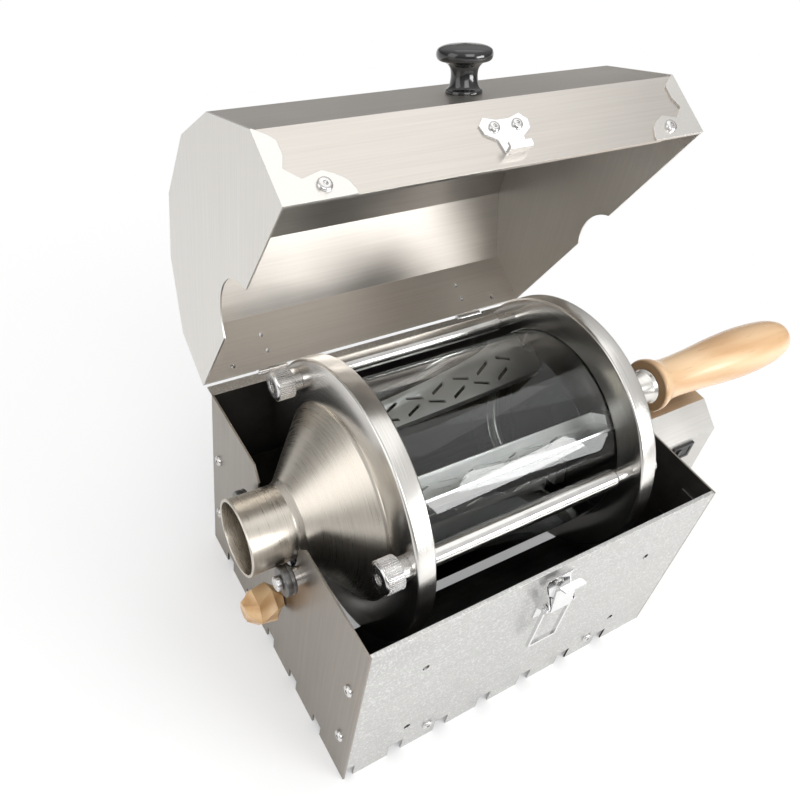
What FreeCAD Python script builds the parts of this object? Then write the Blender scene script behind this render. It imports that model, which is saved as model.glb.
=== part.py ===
import FreeCAD, Part
import math
import os
import Sketcher
from FreeCAD import Placement, Rotation, Vector

doc = FreeCAD.newDocument("CoffeeRoaster")
sheetObject = doc.addObject("Spreadsheet::Sheet", "Sizes")


# A length that knows both its number and its spreadsheet formula.
class Size:
    def __init__(self, value, text, named=False):
        self.value = float(value)
        self.text = text
        self.named = named

    def join(self, other, sign, value):
        other = asSize(other)
        text = "(%s %s %s)" % (self.text, sign, other.text)
        return Size(value, text, self.named or other.named)

    def __add__(self, other):
        return self.join(other, "+", self.value + asSize(other).value)

    def __sub__(self, other):
        return self.join(other, "-", self.value - asSize(other).value)

    def __mul__(self, other):
        return self.join(other, "*", self.value * asSize(other).value)

    def __truediv__(self, other):
        return self.join(other, "/", self.value / asSize(other).value)

    def __neg__(self):
        return Size(-self.value, "(-1 * %s)" % self.text, self.named)

    __radd__ = __add__
    __rmul__ = __mul__

    def __rsub__(self, other):
        return asSize(other) - self


def asSize(item):
    if isinstance(item, Size):
        return item
    return Size(item, "(%r)" % float(item))


row = [0]


def size(name, value):
    row[0] += 1
    sheetObject.set("A%d" % row[0], name)
    sheetObject.set("B%d" % row[0], str(value))
    sheetObject.setAlias("B%d" % row[0], name)
    return Size(value, "Sizes.%s" % name, True)


# Box
boxLength = size("boxLength", 250)
boxDepth = size("boxDepth", 208)
rimHeight = size("rimHeight", 146)
sheet = size("sheet", 1.2)
rearSetback = size("rearSetback", 7)
flangeWidth = size("flangeWidth", 18)
notchWidth = size("notchWidth", 10)
notchPitch = size("notchPitch", 34.2)
frontNotchHeight = size("frontNotchHeight", 13)
sideNotchHeight = size("sideNotchHeight", 10)
screwHole = size("screwHole", 1.6)
screwShank = size("screwShank", 1.45)
screwLow = size("screwLow", 40)
screwBelowRim = size("screwBelowRim", 51)
railInset = size("railInset", 13)
baseScrewAside = size("baseScrewAside", 67)
baseScrewHeight = size("baseScrewHeight", 17.5)

# Drum
axisBelowRim = size("axisBelowRim", 16)
ringRadius = size("ringRadius", 87)
ringWidth = size("ringWidth", 12.5)
ringInset = size("ringInset", 39)
coneRadius = size("coneRadius", 61)
spoutRadius = size("spoutRadius", 22.5)
spoutClear = size("spoutClear", 3.6)
spoutPast = size("spoutPast", 25)
coneInset = size("coneInset", 6)
drumSheet = size("drumSheet", 1.2)
glassRadius = size("glassRadius", 66)
glassWall = size("glassWall", 3)
gasketThick = size("gasketThick", 1)
rodCircle = size("rodCircle", 76)
rodRadius = size("rodRadius", 6)
rodTip = size("rodTip", 4)
rodFirstAngle = size("rodFirstAngle", 20)
nutRadius = size("nutRadius", 9.5)
vaneThick = size("vaneThick", 1.5)
shaftRadius = size("shaftRadius", 8)
shaftPast = size("shaftPast", 46)
runningGap = size("runningGap", 0.05)

# Drive
gearTeeth = size("gearTeeth", 36)
pinionTeeth = size("pinionTeeth", 12)
toothModule = size("toothModule", 1.25)
gearPast = size("gearPast", 8)
gearWidth = size("gearWidth", 8)
gearDistance = size("gearDistance", 30.2)
housingLength = size("housingLength", 107)
housingHalf = size("housingHalf", 34)
housingTop = size("housingTop", 108)
housingBottom = size("housingBottom", 36)
housingFlat = size("housingFlat", 15)
housingBend = size("housingBend", 93)
bearingRadius = size("bearingRadius", 16)
lugAside = size("lugAside", 29)
lugDropLow = size("lugDropLow", 85)
lugDropHigh = size("lugDropHigh", 46)
motorScrewAside = size("motorScrewAside", 13)
motorScrewDrop = size("motorScrewDrop", 26)

# Rollers
rollerRadius = size("rollerRadius", 9)
rollerPast = size("rollerPast", 4.6)
rollerWidth = size("rollerWidth", 6.5)
rollerAside = size("rollerAside", 29.5)
rollerDrop = size("rollerDrop", 11.9)
rollerBore = size("rollerBore", 3.05)

# Lid
lidPast = size("lidPast", 1.5)
lidSheet = size("lidSheet", 1)
lidGap = size("lidGap", 0.4)
lidSide = size("lidSide", 38)
lidShoulder = size("lidShoulder", 74)
lidShoulderIn = size("lidShoulderIn", 35)
lidCrown = size("lidCrown", 92)
lidCrownHalf = size("lidCrownHalf", 27)
lidOpen = size("lidOpen", 62)
hingeBack = size("hingeBack", 105.2)
hingeBelowRim = size("hingeBelowRim", 2)
hingeInset = size("hingeInset", 46)
hingeHalf = size("hingeHalf", 10)
knuckleRadius = size("knuckleRadius", 2.6)
hingePin = size("hingePin", 1.2)
leafBelowRim = size("leafBelowRim", 30)
leafScrewLow = size("leafScrewLow", 25)
leafScrewHigh = size("leafScrewHigh", 13)

# Latch
latchPinBelowRim = size("latchPinBelowRim", 28)
latchPinOut = size("latchPinOut", 6.5)
latchPinRadius = size("latchPinRadius", 1.25)
bailLength = size("bailLength", 41)

# Wood
handleFlare = size("handleFlare", 20)
handlePast = size("handlePast", 204)
knobRadius = size("knobRadius", 13.5)
knobSide = size("knobSide", 11)
knobHeight = size("knobHeight", 70)

half = boxLength / 2
front = -1 * (boxDepth / 2)
back = boxDepth / 2 - rearSetback
shaftEnd = half + shaftPast
gearStart = half + gearPast
housingEnd = half + housingLength
rollerStart = half + rollerPast
lidHalf = half + lidPast
hingePlace = half - hingeInset
spoutReach = half + spoutPast
coneEnd = half - coneInset
ringFace = half - ringInset
handleTip = half + handlePast
axisHeight = rimHeight - axisBelowRim
railHalf = half - railInset
screwHigh = rimHeight - screwBelowRim
leafScrews = (rimHeight - leafScrewLow, rimHeight - leafScrewHigh)
lugLow = axisHeight - lugDropLow
lugHigh = axisHeight - lugDropHigh
hingeHeight = rimHeight - hingeBelowRim
latchPinHeight = rimHeight - latchPinBelowRim
doc.recompute()

exported = []


def bind(thing, prop, item):
    item = asSize(item)
    if item.named:
        thing.setExpression(prop, item.text)


def place(thing, x=0, y=0, z=0):
    thing.Placement = Placement(Vector(asSize(x).value, asSize(y).value, asSize(z).value), Rotation())
    bind(thing, "Placement.Base.x", x)
    bind(thing, "Placement.Base.y", y)
    bind(thing, "Placement.Base.z", z)


def newBody(name, x=0, y=0, z=0, keep=True):
    body = doc.addObject("PartDesign::Body", name)
    body.Label = name
    place(body, x, y, z)
    if keep:
        exported.append(body)
    return body


planeRoles = {"xy": "XY_Plane", "xz": "XZ_Plane", "yz": "YZ_Plane"}


def newSketch(body, name, plane, start=0):
    sketch = body.newObject("Sketcher::SketchObject", name)
    role = planeRoles[plane]
    origin = [f for f in body.Origin.OriginFeatures if f.Role == role][0]
    sketch.AttachmentSupport = [(origin, "")]
    sketch.MapMode = "FlatFace"
    start = asSize(start)
    sketch.AttachmentOffset = Placement(Vector(0, 0, start.value), Rotation())
    bind(sketch, "AttachmentOffset.Base.z", start)
    return sketch


def pin(sketch, geo, pos, x, y):
    for kind, item, axis in (("DistanceX", asSize(x), -2), ("DistanceY", asSize(y), -1)):
        if abs(item.value) < 1e-9:
            sketch.addConstraint(Sketcher.Constraint("PointOnObject", geo, pos, axis))
            continue
        number = sketch.addConstraint(Sketcher.Constraint(kind, -1, 1, geo, pos, item.value))
        if item.named:
            sketch.setExpression("Constraints[%d]" % number, item.text)


# A closed outline of straight lines; every corner is pinned to the sketch origin.
def outline(sketch, points):
    points = [(asSize(x), asSize(y)) for x, y in points]
    first = sketch.GeometryCount
    count = len(points)
    for i in range(count):
        a = points[i]
        b = points[(i + 1) % count]
        line = Part.LineSegment(Vector(a[0].value, a[1].value, 0), Vector(b[0].value, b[1].value, 0))
        sketch.addGeometry(line, False)
    for i in range(count):
        after = first + (i + 1) % count
        sketch.addConstraint(Sketcher.Constraint("Coincident", first + i, 2, after, 1))
    for i in range(count):
        pin(sketch, first + i, 1, points[i][0], points[i][1])


def circle(sketch, x, y, radius):
    x, y, radius = asSize(x), asSize(y), asSize(radius)
    geo = sketch.addGeometry(Part.Circle(Vector(x.value, y.value, 0), Vector(0, 0, 1), radius.value), False)
    pin(sketch, geo, 3, x, y)
    number = sketch.addConstraint(Sketcher.Constraint("Radius", geo, radius.value))
    if radius.named:
        sketch.setExpression("Constraints[%d]" % number, radius.text)


def rectangle(sketch, x1, y1, x2, y2):
    outline(sketch, [(x1, y1), (x2, y1), (x2, y2), (x1, y2)])


def pad(body, sketch, length, reverse=False):
    length = asSize(length)
    feature = body.newObject("PartDesign::Pad", sketch.Name + "Pad")
    feature.Profile = sketch
    feature.Length = length.value
    bind(feature, "Length", length)
    feature.Reversed = reverse
    sketch.Visibility = False
    return feature


def pocket(body, sketch, length, reverse=False):
    length = asSize(length)
    feature = body.newObject("PartDesign::Pocket", sketch.Name + "Cut")
    feature.Profile = sketch
    feature.Length = length.value
    bind(feature, "Length", length)
    feature.Reversed = reverse
    return feature


# A pocket that runs along the sketch normal, and must remove something.
def cut(body, sketch, length):
    doc.recompute()
    before = body.Shape.Volume
    feature = pocket(body, sketch, length, True)
    doc.recompute()
    if body.Shape.Volume > before - 1e-3:
        feature.Reversed = False
        doc.recompute()
    if body.Shape.Volume > before - 1e-3:
        print("cut removed nothing:", sketch.Name)
    return feature


# Turned pieces: (along, radius) outline spun round the sketch's first axis.
def turn(body, name, points):
    sketch = newSketch(body, name, "xz")
    outline(sketch, points)
    feature = body.newObject("PartDesign::Revolution", name + "Turn")
    feature.Profile = sketch
    feature.ReferenceAxis = (sketch, ["H_Axis"])
    feature.Angle = 360
    return feature


def polar(body, feature, axisRole, count):
    count = asSize(count)
    pattern = body.newObject("PartDesign::PolarPattern", feature.Name + "Round")
    pattern.Originals = [feature]
    axis = [f for f in body.Origin.OriginFeatures if f.Role == axisRole][0]
    pattern.Axis = (axis, [""])
    pattern.Angle = 360
    pattern.Occurrences = int(count.value)
    bind(pattern, "Occurrences", count)
    body.Tip = pattern
    return pattern


# Copies of one template piece, each a solid of its own in one named group.
def group(label, template, places):
    links = []
    for i, (base, rotation) in enumerate(places):
        link = doc.addObject("App::Link", "%sItem%d" % (label, i))
        link.LinkedObject = template
        link.LinkTransform = False
        x, y, z = [asSize(c) for c in base]
        link.Placement = Placement(Vector(x.value, y.value, z.value), rotation)
        bind(link, "Placement.Base.x", x)
        bind(link, "Placement.Base.y", y)
        bind(link, "Placement.Base.z", z)
        links.append(link)
    compound = doc.addObject("Part::Compound", label)
    compound.Label = label
    compound.Links = links
    exported.append(compound)
    return compound


toMinusX = Rotation(Vector(0, 1, 0), -90)
toPlusX = Rotation(Vector(0, 1, 0), 90)
toMinusY = Rotation(Vector(1, 0, 0), 90)
toPlusY = Rotation(Vector(1, 0, 0), -90)
upright = Rotation()


# Button-head screw along +Z: the head stands above z=0, the shank goes below.
def screwTemplate(name, headRadius, headHeight, shankRadius, shankLength):
    body = newBody(name, keep=False)
    sketch = newSketch(body, name + "Profile", "xz")
    outline(sketch, [(0, -1 * asSize(shankLength)), (shankRadius, -1 * asSize(shankLength)), (shankRadius, 0),
                     (headRadius, 0), (headRadius, headHeight * 0.45), (headRadius * 0.72, headHeight),
                     (0, headHeight)])
    feature = body.newObject("PartDesign::Revolution", name + "Turn")
    feature.Profile = sketch
    feature.ReferenceAxis = (sketch, ["V_Axis"])
    feature.Angle = 360
    return body


def boxPiece(body, name, low, high):
    sketch = newSketch(body, name, "xy", low[2])
    rectangle(sketch, low[0], low[1], high[0], high[1])
    return pad(body, sketch, asSize(high[2]) - low[2])


print("box panels")
frontBody = newBody("front_panel")
inner = half - sheet
face = newSketch(frontBody, "frontFace", "xz", -1 * front - sheet)
rectangle(face, -1 * inner, 0, inner, rimHeight)
pad(frontBody, face, sheet)
hem = newSketch(frontBody, "frontHem", "xz", -1 * front - sheet * 2)
rectangle(hem, -1 * inner, rimHeight - 8, inner, rimHeight)
pad(frontBody, hem, sheet)
for side in (-1, 1):
    flange = newSketch(frontBody, "frontFlange%s" % ("L" if side < 0 else "R"), "xy", 14)
    rectangle(flange, side * inner, front + sheet, side * (inner - sheet), front + sheet + flangeWidth)
    pad(frontBody, flange, rimHeight - 30)
notches = newSketch(frontBody, "frontNotches", "xz", -1 * front - sheet * 3)
for i in range(7):
    right = -118 + notchPitch * i
    rectangle(notches, right - notchWidth, -1, right, frontNotchHeight)
cut(frontBody, notches, sheet * 4)
vents = newSketch(frontBody, "frontHoles", "xz", -1 * front - sheet * 3)
for x in (-84, 84):
    for z in (31, 103):
        circle(vents, x, z, 2.2)
for x in (-1 * baseScrewAside, baseScrewAside):
    circle(vents, x, baseScrewHeight, screwHole)
for z in (-14, 14):
    circle(vents, 0, latchPinHeight + z, screwHole)
cut(frontBody, vents, sheet * 4)
sideHoles = newSketch(frontBody, "frontSideHoles", "yz", -1 * half - 1)
for z in (screwLow, screwHigh):
    circle(sideHoles, -93, z, screwHole)
cut(frontBody, sideHoles, boxLength + 2)

rearBody = newBody("rear_panel")
face = newSketch(rearBody, "rearFace", "xz", -1 * back)
rectangle(face, -1 * inner, 0, inner, rimHeight)
pad(rearBody, face, sheet)
ledge = newSketch(rearBody, "rearLedge", "xy", rimHeight - sheet)
rectangle(ledge, -1 * half, back, half, back + 7.3)
pad(rearBody, ledge, sheet)
for side in (-1, 1):
    flange = newSketch(rearBody, "rearFlange%s" % ("L" if side < 0 else "R"), "xy", 14)
    rectangle(flange, side * inner, back - sheet, side * (inner - sheet), back - sheet - flangeWidth)
    pad(rearBody, flange, rimHeight - 30)
gaps = newSketch(rearBody, "hingeGaps", "xy", rimHeight - sheet * 2)
for side in (-1, 1):
    rectangle(gaps, side * hingePlace - hingeHalf - 1.5, hingeBack - 3.2, side * hingePlace + hingeHalf + 1.5,
              back + 9)
cut(rearBody, gaps, sheet * 3)
rearCuts = newSketch(rearBody, "rearNotches", "xz", -1 * back - sheet)
for i in range(7):
    right = -118 + notchPitch * i
    rectangle(rearCuts, right - notchWidth, -1, right, frontNotchHeight)
cut(rearBody, rearCuts, sheet * 4)
rearHoles = newSketch(rearBody, "rearHoles", "xz", -1 * back - sheet)
for side in (-1, 1):
    for z in leafScrews:
        circle(rearHoles, side * hingePlace, z, screwHole)
    circle(rearHoles, side * baseScrewAside, baseScrewHeight, screwHole)
cut(rearBody, rearHoles, sheet * 4)
sideHoles = newSketch(rearBody, "rearSideHoles", "yz", -1 * half - 1)
for z in (screwLow, screwHigh):
    circle(sideHoles, back - 11, z, screwHole)
cut(rearBody, sideHoles, boxLength + 2)


def sidePanel(name, start):
    body = newBody(name)
    face = newSketch(body, name + "Face", "yz", start)
    rectangle(face, front, 0, back, rimHeight)
    pad(body, face, sheet)
    cuts = newSketch(body, name + "Notches", "yz", asSize(start) - 1)
    for i in range(5):
        high = 72.7 - 33.9 * i
        rectangle(cuts, high - notchWidth, -1, high, sideNotchHeight)
    cut(body, cuts, sheet + 2)
    holes = newSketch(body, name + "ScrewHoles", "yz", asSize(start) - 1)
    for z in (screwLow, screwHigh):
        circle(holes, -93, z, screwHole)
        circle(holes, back - 11, z, screwHole)
    cut(body, holes, sheet + 2)
    return body


leftBody = sidePanel("left_side_panel", -1 * half)
arch = newSketch(leftBody, "spoutNotchRound", "yz", -1 * half - 1)
circle(arch, 0, axisHeight, spoutRadius + spoutClear)
cut(leftBody, arch, sheet + 2)
arch = newSketch(leftBody, "spoutNotchMouth", "yz", -1 * half - 1)
wide = spoutRadius + spoutClear
outline(arch, [(-1 * wide, axisHeight), (wide, axisHeight), (wide, rimHeight - 9), (wide + 8, rimHeight + 1),
               (-1 * (wide + 8), rimHeight + 1), (-1 * wide, rimHeight - 9)])
cut(leftBody, arch, sheet + 2)
arch = newSketch(leftBody, "rollerHoles", "yz", -1 * half - 1)
for side in (-1, 1):
    circle(arch, side * rollerAside, axisHeight - rollerDrop, 2.6)
circle(arch, -1 * knobSide, knobHeight, 2.2)
cut(leftBody, arch, sheet + 2)

rightBody = sidePanel("right_side_panel", half - sheet)
arch = newSketch(rightBody, "bearingNotchRound", "yz", half - sheet - 1)
circle(arch, 0, axisHeight, bearingRadius)
cut(rightBody, arch, sheet + 2)
arch = newSketch(rightBody, "bearingNotchMouth", "yz", half - sheet - 1)
outline(arch, [(-1 * bearingRadius, axisHeight), (bearingRadius, axisHeight), (bearingRadius, rimHeight - 5),
               (bearingRadius + 6, rimHeight + 1), (-1 * (bearingRadius + 6), rimHeight + 1),
               (-1 * bearingRadius, rimHeight - 5)])
cut(rightBody, arch, sheet + 2)
motorAxis = axisHeight - gearDistance
arch = newSketch(rightBody, "motorHoles", "yz", half - sheet - 1)
for y in (-1 * motorScrewAside, motorScrewAside):
    circle(arch, y, motorAxis - motorScrewDrop, screwHole)
for y in (-1 * lugAside, lugAside):
    for z in (lugLow, lugHigh):
        circle(arch, y, z, screwHole)
cut(rightBody, arch, sheet + 2)

print("rails and baffles")
for name, wall, side in (("front_bottom_rail", front + sheet, 1), ("rear_bottom_rail", back - sheet, -1)):
    rail = newBody(name)
    upright1 = newSketch(rail, name + "Leg", "xy", frontNotchHeight + 0.5)
    rectangle(upright1, -1 * railHalf, wall, railHalf, wall + side * sheet)
    pad(rail, upright1, 11)
    foot = newSketch(rail, name + "Foot", "xy", frontNotchHeight + 11.5 - sheet)
    rectangle(foot, -1 * railHalf, wall + side * sheet, railHalf, wall + side * 14)
    pad(rail, foot, sheet)
    holes = newSketch(rail, name + "Holes", "xz", -1 * wall - 5)
    for x in (-1 * baseScrewAside, baseScrewAside):
        circle(holes, x, baseScrewHeight, screwHole)
    cut(rail, holes, 10)

baffleRadius = ringRadius + 6
for name, side in (("front_heat_baffle", -1), ("rear_heat_baffle", 1)):
    baffle = newBody(name, z=axisHeight)
    strip = newSketch(baffle, name + "Strip", "yz", -1 * half + sheet * 3)
    angles = [25 + 5 * i for i in range(10)]
    if side > 0:
        angles = angles[:-1]
    innerEdge = [(side * baffleRadius * math.sin(math.radians(a)),
                  -1 * baffleRadius * math.cos(math.radians(a))) for a in angles]
    outerEdge = [(side * (baffleRadius + 1) * math.sin(math.radians(a)),
                  -1 * (baffleRadius + 1) * math.cos(math.radians(a))) for a in reversed(angles)]
    outline(strip, innerEdge + outerEdge)
    pad(baffle, strip, boxLength - sheet * 6)
    wallSide = front + sheet * 2.5 if side < 0 else back - sheet * 2.5
    for end, start in (("L", -1 * half + sheet * 2), ("R", half - sheet * 3)):
        tab = newSketch(baffle, name + "Tab" + end, "yz", start)
        rectangle(tab, wallSide, -96, side * 79, -28)
        pad(baffle, tab, sheet)
    holes = newSketch(baffle, name + "Holes", "yz", -1 * half - 1)
    across = -93 if side < 0 else back - 11
    for z in (screwLow, screwHigh):
        circle(holes, across, asSize(z) - axisHeight, screwHole)
    cut(baffle, holes, boxLength + 2)

print("screws")
panelScrew = screwTemplate("panelScrew", 3.6, 2.0, screwShank, 4.5)
places = []
for y in (asSize(-93), back - 11):
    for z in (screwLow, screwHigh):
        places.append(((-1 * half, y, z), toMinusX))
        places.append(((half, y, z), toPlusX))
group("side_panel_screws", panelScrew, places)
places = []
for x in (-1 * baseScrewAside, baseScrewAside):
    places.append(((x, front, baseScrewHeight), toMinusY))
    places.append(((x, back, baseScrewHeight), toPlusY))
group("base_rail_screws", panelScrew, places)

print("rollers")
spacer = newBody("rollerSpacer", keep=False)
turn(spacer, "rollerSpacerRing", [(-4.2, 2.7), (0, 2.7), (0, 5.5), (-4.2, 5.5)])
rollerPlaces = [((-1 * half, side * rollerAside, axisHeight - rollerDrop), upright) for side in (-1, 1)]
group("roller_spacers", spacer, rollerPlaces)
rollerBolt = newBody("rollerBolt", keep=False)
boltEnd = rollerStart - half + rollerWidth + 0.4
turn(rollerBolt, "rollerBoltTurn", [(4.5, 0), (-1 * boltEnd - 3.4, 0), (-1 * boltEnd - 3.4, 3.2),
                                    (-1 * boltEnd - 2.8, 4.4), (-1 * boltEnd, 4.4),
                                    (-1 * boltEnd, rollerBore - runningGap), (-4.3, rollerBore - runningGap),
                                    (-4.3, 2.45), (4.5, 2.45)])
group("roller_bolts", rollerBolt, rollerPlaces)
rollerNut = newBody("rollerNut", keep=False)
nutShape = newSketch(rollerNut, "rollerNutHex", "yz", sheet + 0.1)
outline(nutShape, [(4.6 * math.cos(math.radians(60 * i)), 4.6 * math.sin(math.radians(60 * i)))
                   for i in range(6)])
circle(nutShape, 0, 0, 2.5)
pad(rollerNut, nutShape, 3)
group("roller_nuts", rollerNut, rollerPlaces)
for name, side in (("front_support_roller", -1), ("back_support_roller", 1)):
    roller = newBody(name, -1 * rollerStart - rollerWidth, side * rollerAside, axisHeight - rollerDrop)
    turn(roller, name + "Ring", [(0, rollerBore), (rollerWidth, rollerBore), (rollerWidth, rollerRadius - 0.6),
                                 (rollerWidth - 0.6, rollerRadius), (4.6, rollerRadius), (4.6, rollerRadius - 0.5),
                                 (3.6, rollerRadius - 0.5), (3.6, rollerRadius), (0.6, rollerRadius),
                                 (0, rollerRadius - 0.6)])

print("side knob")
sideKnob = newBody("wooden_side_knob", -1 * half, -1 * knobSide, knobHeight)
stations = [(-0.6, 6.5, 0), (-7, 12.2, 30), (-17.5, 12.4, 0), (-24.5, 6.2, 30)]
sections = []
for i, (along, radius, twist) in enumerate(stations):
    section = newSketch(sideKnob, "knobSection%d" % i, "yz", along)
    grow = knobRadius / 13.5 * radius
    outline(section, [(grow * math.cos(math.radians(60 * j + twist)), grow * math.sin(math.radians(60 * j + twist)))
                      for j in range(6)])
    sections.append(section)
loft = sideKnob.newObject("PartDesign::AdditiveLoft", "knobFacets")
loft.Profile = sections[0]
loft.Sections = sections[1:]
loft.Ruled = True
bore = newSketch(sideKnob, "knobBore", "yz", -15)
circle(bore, 0, 0, 2.1)
cut(sideKnob, bore, 20)
knobScrew = newBody("side_knob_screw", -1 * half, -1 * knobSide, knobHeight)
turn(knobScrew, "sideKnobScrewTurn", [(-14, 0), (-14, 1.95), (sheet, 1.95), (sheet, 4.2), (sheet + 1.6, 3.4),
                                      (sheet + 1.6, 0)])

print("motor housing")
housing = newBody("motor_housing")
around = [(-1 * housingHalf, housingBottom), (housingHalf, housingBottom), (housingHalf, housingBend),
          (housingFlat, housingTop), (-1 * housingFlat, housingTop), (-1 * housingHalf, housingBend)]
shell = newSketch(housing, "housingOutside", "yz", half)
outline(shell, around)
pad(housing, shell, housingEnd - half)
hollow = newSketch(housing, "housingInside", "yz", half - 1)
wall = sheet
outline(hollow, [(-1 * housingHalf + wall, housingBottom + wall), (housingHalf - wall, housingBottom + wall),
                 (housingHalf - wall, housingBend - wall * 0.55), (housingFlat - wall * 0.4, housingTop - wall),
                 (-1 * housingFlat + wall * 0.4, housingTop - wall),
                 (-1 * housingHalf + wall, housingBend - wall * 0.55)])
cut(housing, hollow, housingEnd - half + 1 - wall)
for y in (-1 * lugAside, lugAside):
    for z in (lugLow, lugHigh):
        lug = newSketch(housing, "housingLug%d_%d" % (30 + y.value, z.value), "yz", half)
        side = -1 if y.value < 0 else 1
        rectangle(lug, side * 25, z - 4, side * (housingHalf - wall), z + 4)
        pad(housing, lug, 3)
gearSlot = newSketch(housing, "gearSlot", "xy", housingTop - 8)
rectangle(gearSlot, gearStart - 3, -13, gearStart + gearWidth + 3, 13)
cut(housing, gearSlot, 20)
windows = newSketch(housing, "switchWindow", "xz", housingHalf - wall - 1)
rectangle(windows, 190.5, 73.5, 209.5, 86.5)
cut(housing, windows, wall + 2)
inletHole = newSketch(housing, "inletHole", "yz", housingEnd - wall - 1)
circle(inletHole, 0, 60, 4.1)
cut(housing, inletHole, wall + 2)
lugHoles = newSketch(housing, "lugHoles", "yz", half - 1)
for y in (-1 * lugAside, lugAside):
    for z in (lugLow, lugHigh):
        circle(lugHoles, y, z, screwHole)
cut(housing, lugHoles, 5)
motorScrew = screwTemplate("motorScrew", 3.0, 1.8, screwShank, 4.4)
group("motor_housing_screws", motorScrew,
      [((half - sheet, y, z), toMinusX) for y in (-1 * lugAside, lugAside) for z in (lugLow, lugHigh)])

motor = newBody("gear_motor", z=motorAxis)
gearbox = newSketch(motor, "gearboxPlate", "yz", half + 0.3)
outline(gearbox, [(-18, -32), (18, -32), (18, -4), (7, 5.6), (-7, 5.6), (-18, -4)])
pad(motor, gearbox, 6)
neck = newSketch(motor, "gearboxNeck", "yz", half + 6)
circle(neck, 0, -21, 10)
pad(motor, neck, 16)
box2 = newSketch(motor, "gearboxCase", "yz", gearStart + gearWidth + 2)
circle(box2, 0, -13.5, 18)
pad(motor, box2, 20)
can = newSketch(motor, "motorCan", "yz", gearStart + gearWidth + 21.5)
circle(can, 0, -13.5, 15.5)
pad(motor, can, 42)
tail = newSketch(motor, "motorTail", "yz", gearStart + gearWidth + 63)
circle(tail, 0, -13.5, 5)
pad(motor, tail, 3)
spindle = newSketch(motor, "motorSpindle", "yz", half + 4)
circle(spindle, 0, 0, 2.95)
pad(motor, spindle, gearStart + gearWidth - half)
tapped = newSketch(motor, "motorTapped", "yz", half - 1)
for y in (-1 * motorScrewAside, motorScrewAside):
    circle(tapped, y, -26, screwShank + 0.1)
cut(motor, tapped, 7)
group("motor_screws", motorScrew, [((half - sheet, y, motorAxis - motorScrewDrop), toMinusX) for y in (-1 * motorScrewAside, motorScrewAside)])


# One tooth gap between two spur teeth, drawn with points on the true flank curve.
def gapOutline(teeth, center):
    module = toothModule.value
    pitch = module * teeth / 2
    base = pitch * math.cos(math.radians(20))
    outer = pitch + module
    root = pitch - module * 1.2
    backlash = 0.16
    halfGap = (math.pi * module / 2 + backlash) / 2 / pitch
    involutePitch = math.tan(math.radians(20)) - math.radians(20)
    flank = []
    for i in range(5):
        radius = max(base, root) + (outer + 0.3 - max(base, root)) * i / 4
        alpha = math.acos(min(1.0, base / radius))
        angle = halfGap + (math.tan(alpha) - alpha) - involutePitch
        flank.append((radius, angle))
    low = flank[0][1] * 0.8
    ring = [(root, -low)] + [(r, -a) for r, a in flank] + [(r, a) for r, a in reversed(flank)] + [(root, low)]
    return [(r * math.cos(a + center), r * math.sin(a + center)) for r, a in ring]


def spurGear(name, teeth, z, start, width, bore, gapAt):
    body = newBody(name, start, 0, z)
    blank = newSketch(body, name + "Blank", "yz")
    pitch = toothModule * teeth / 2
    circle(blank, 0, 0, pitch + toothModule)
    circle(blank, 0, 0, bore)
    pad(body, blank, width)
    gap = newSketch(body, name + "Gap", "yz", -1)
    outline(gap, gapOutline(int(asSize(teeth).value), gapAt))
    feature = cut(body, gap, asSize(width) + 2)
    polar(body, feature, "X_Axis", teeth)
    doc.recompute()
    return body


# The wheel has a gap straight down and the pinion a tooth straight up.
drumGear = spurGear("drum_gear", gearTeeth, axisHeight, gearStart, gearWidth, shaftRadius, -math.pi / 2)
pinion = spurGear("motor_pinion", pinionTeeth, motorAxis, gearStart, gearWidth, 3.0, math.pi / 2 + math.pi / 12)

inlet = newBody("power_inlet", housingEnd, 0, 60)
turn(inlet, "inletTurn", [(-14, 0), (-14, 5.6), (-wall.value - 0.2, 5.6), (-wall.value - 0.2, 4), (0.1, 4),
                          (0.1, 5.6), (2, 5.6), (2, 3), (-9, 3), (-9, 1.1), (0, 1.1), (0, 0)])
switchFrame = newBody("switch_frame", 200, -1 * housingHalf, 80)
frameShape = newSketch(switchFrame, "switchRim", "xz", 0)
rectangle(frameShape, -10.8, -7.6, 10.8, 7.6)
pad(switchFrame, frameShape, 1.8)
caseShape = newSketch(switchFrame, "switchCase", "xz", -13)
rectangle(caseShape, -9.2, -6.2, 9.2, 6.2)
pad(switchFrame, caseShape, 13)
well = newSketch(switchFrame, "switchWell", "xz", -7)
rectangle(well, -8, -5, 8, 5)
cut(switchFrame, well, 12)
rocker = newBody("switch_rocker", 200, -1 * housingHalf + 1, 80)
rock = newSketch(rocker, "rockerSide", "xy", -4.7)
# Drawn level, the rocker is alike left and right, and at rest it leans on one side.
lean = math.radians(8)
level = [(-7, 0.6), (0, 4.4), (7, 0.6), (7, -3.4), (0, -2.4), (-7, -3.4)]
outline(rock, [(x * math.cos(lean) - y * math.sin(lean), x * math.sin(lean) + y * math.cos(lean))
               for x, y in level])
pad(rocker, rock, 9.4)

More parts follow.
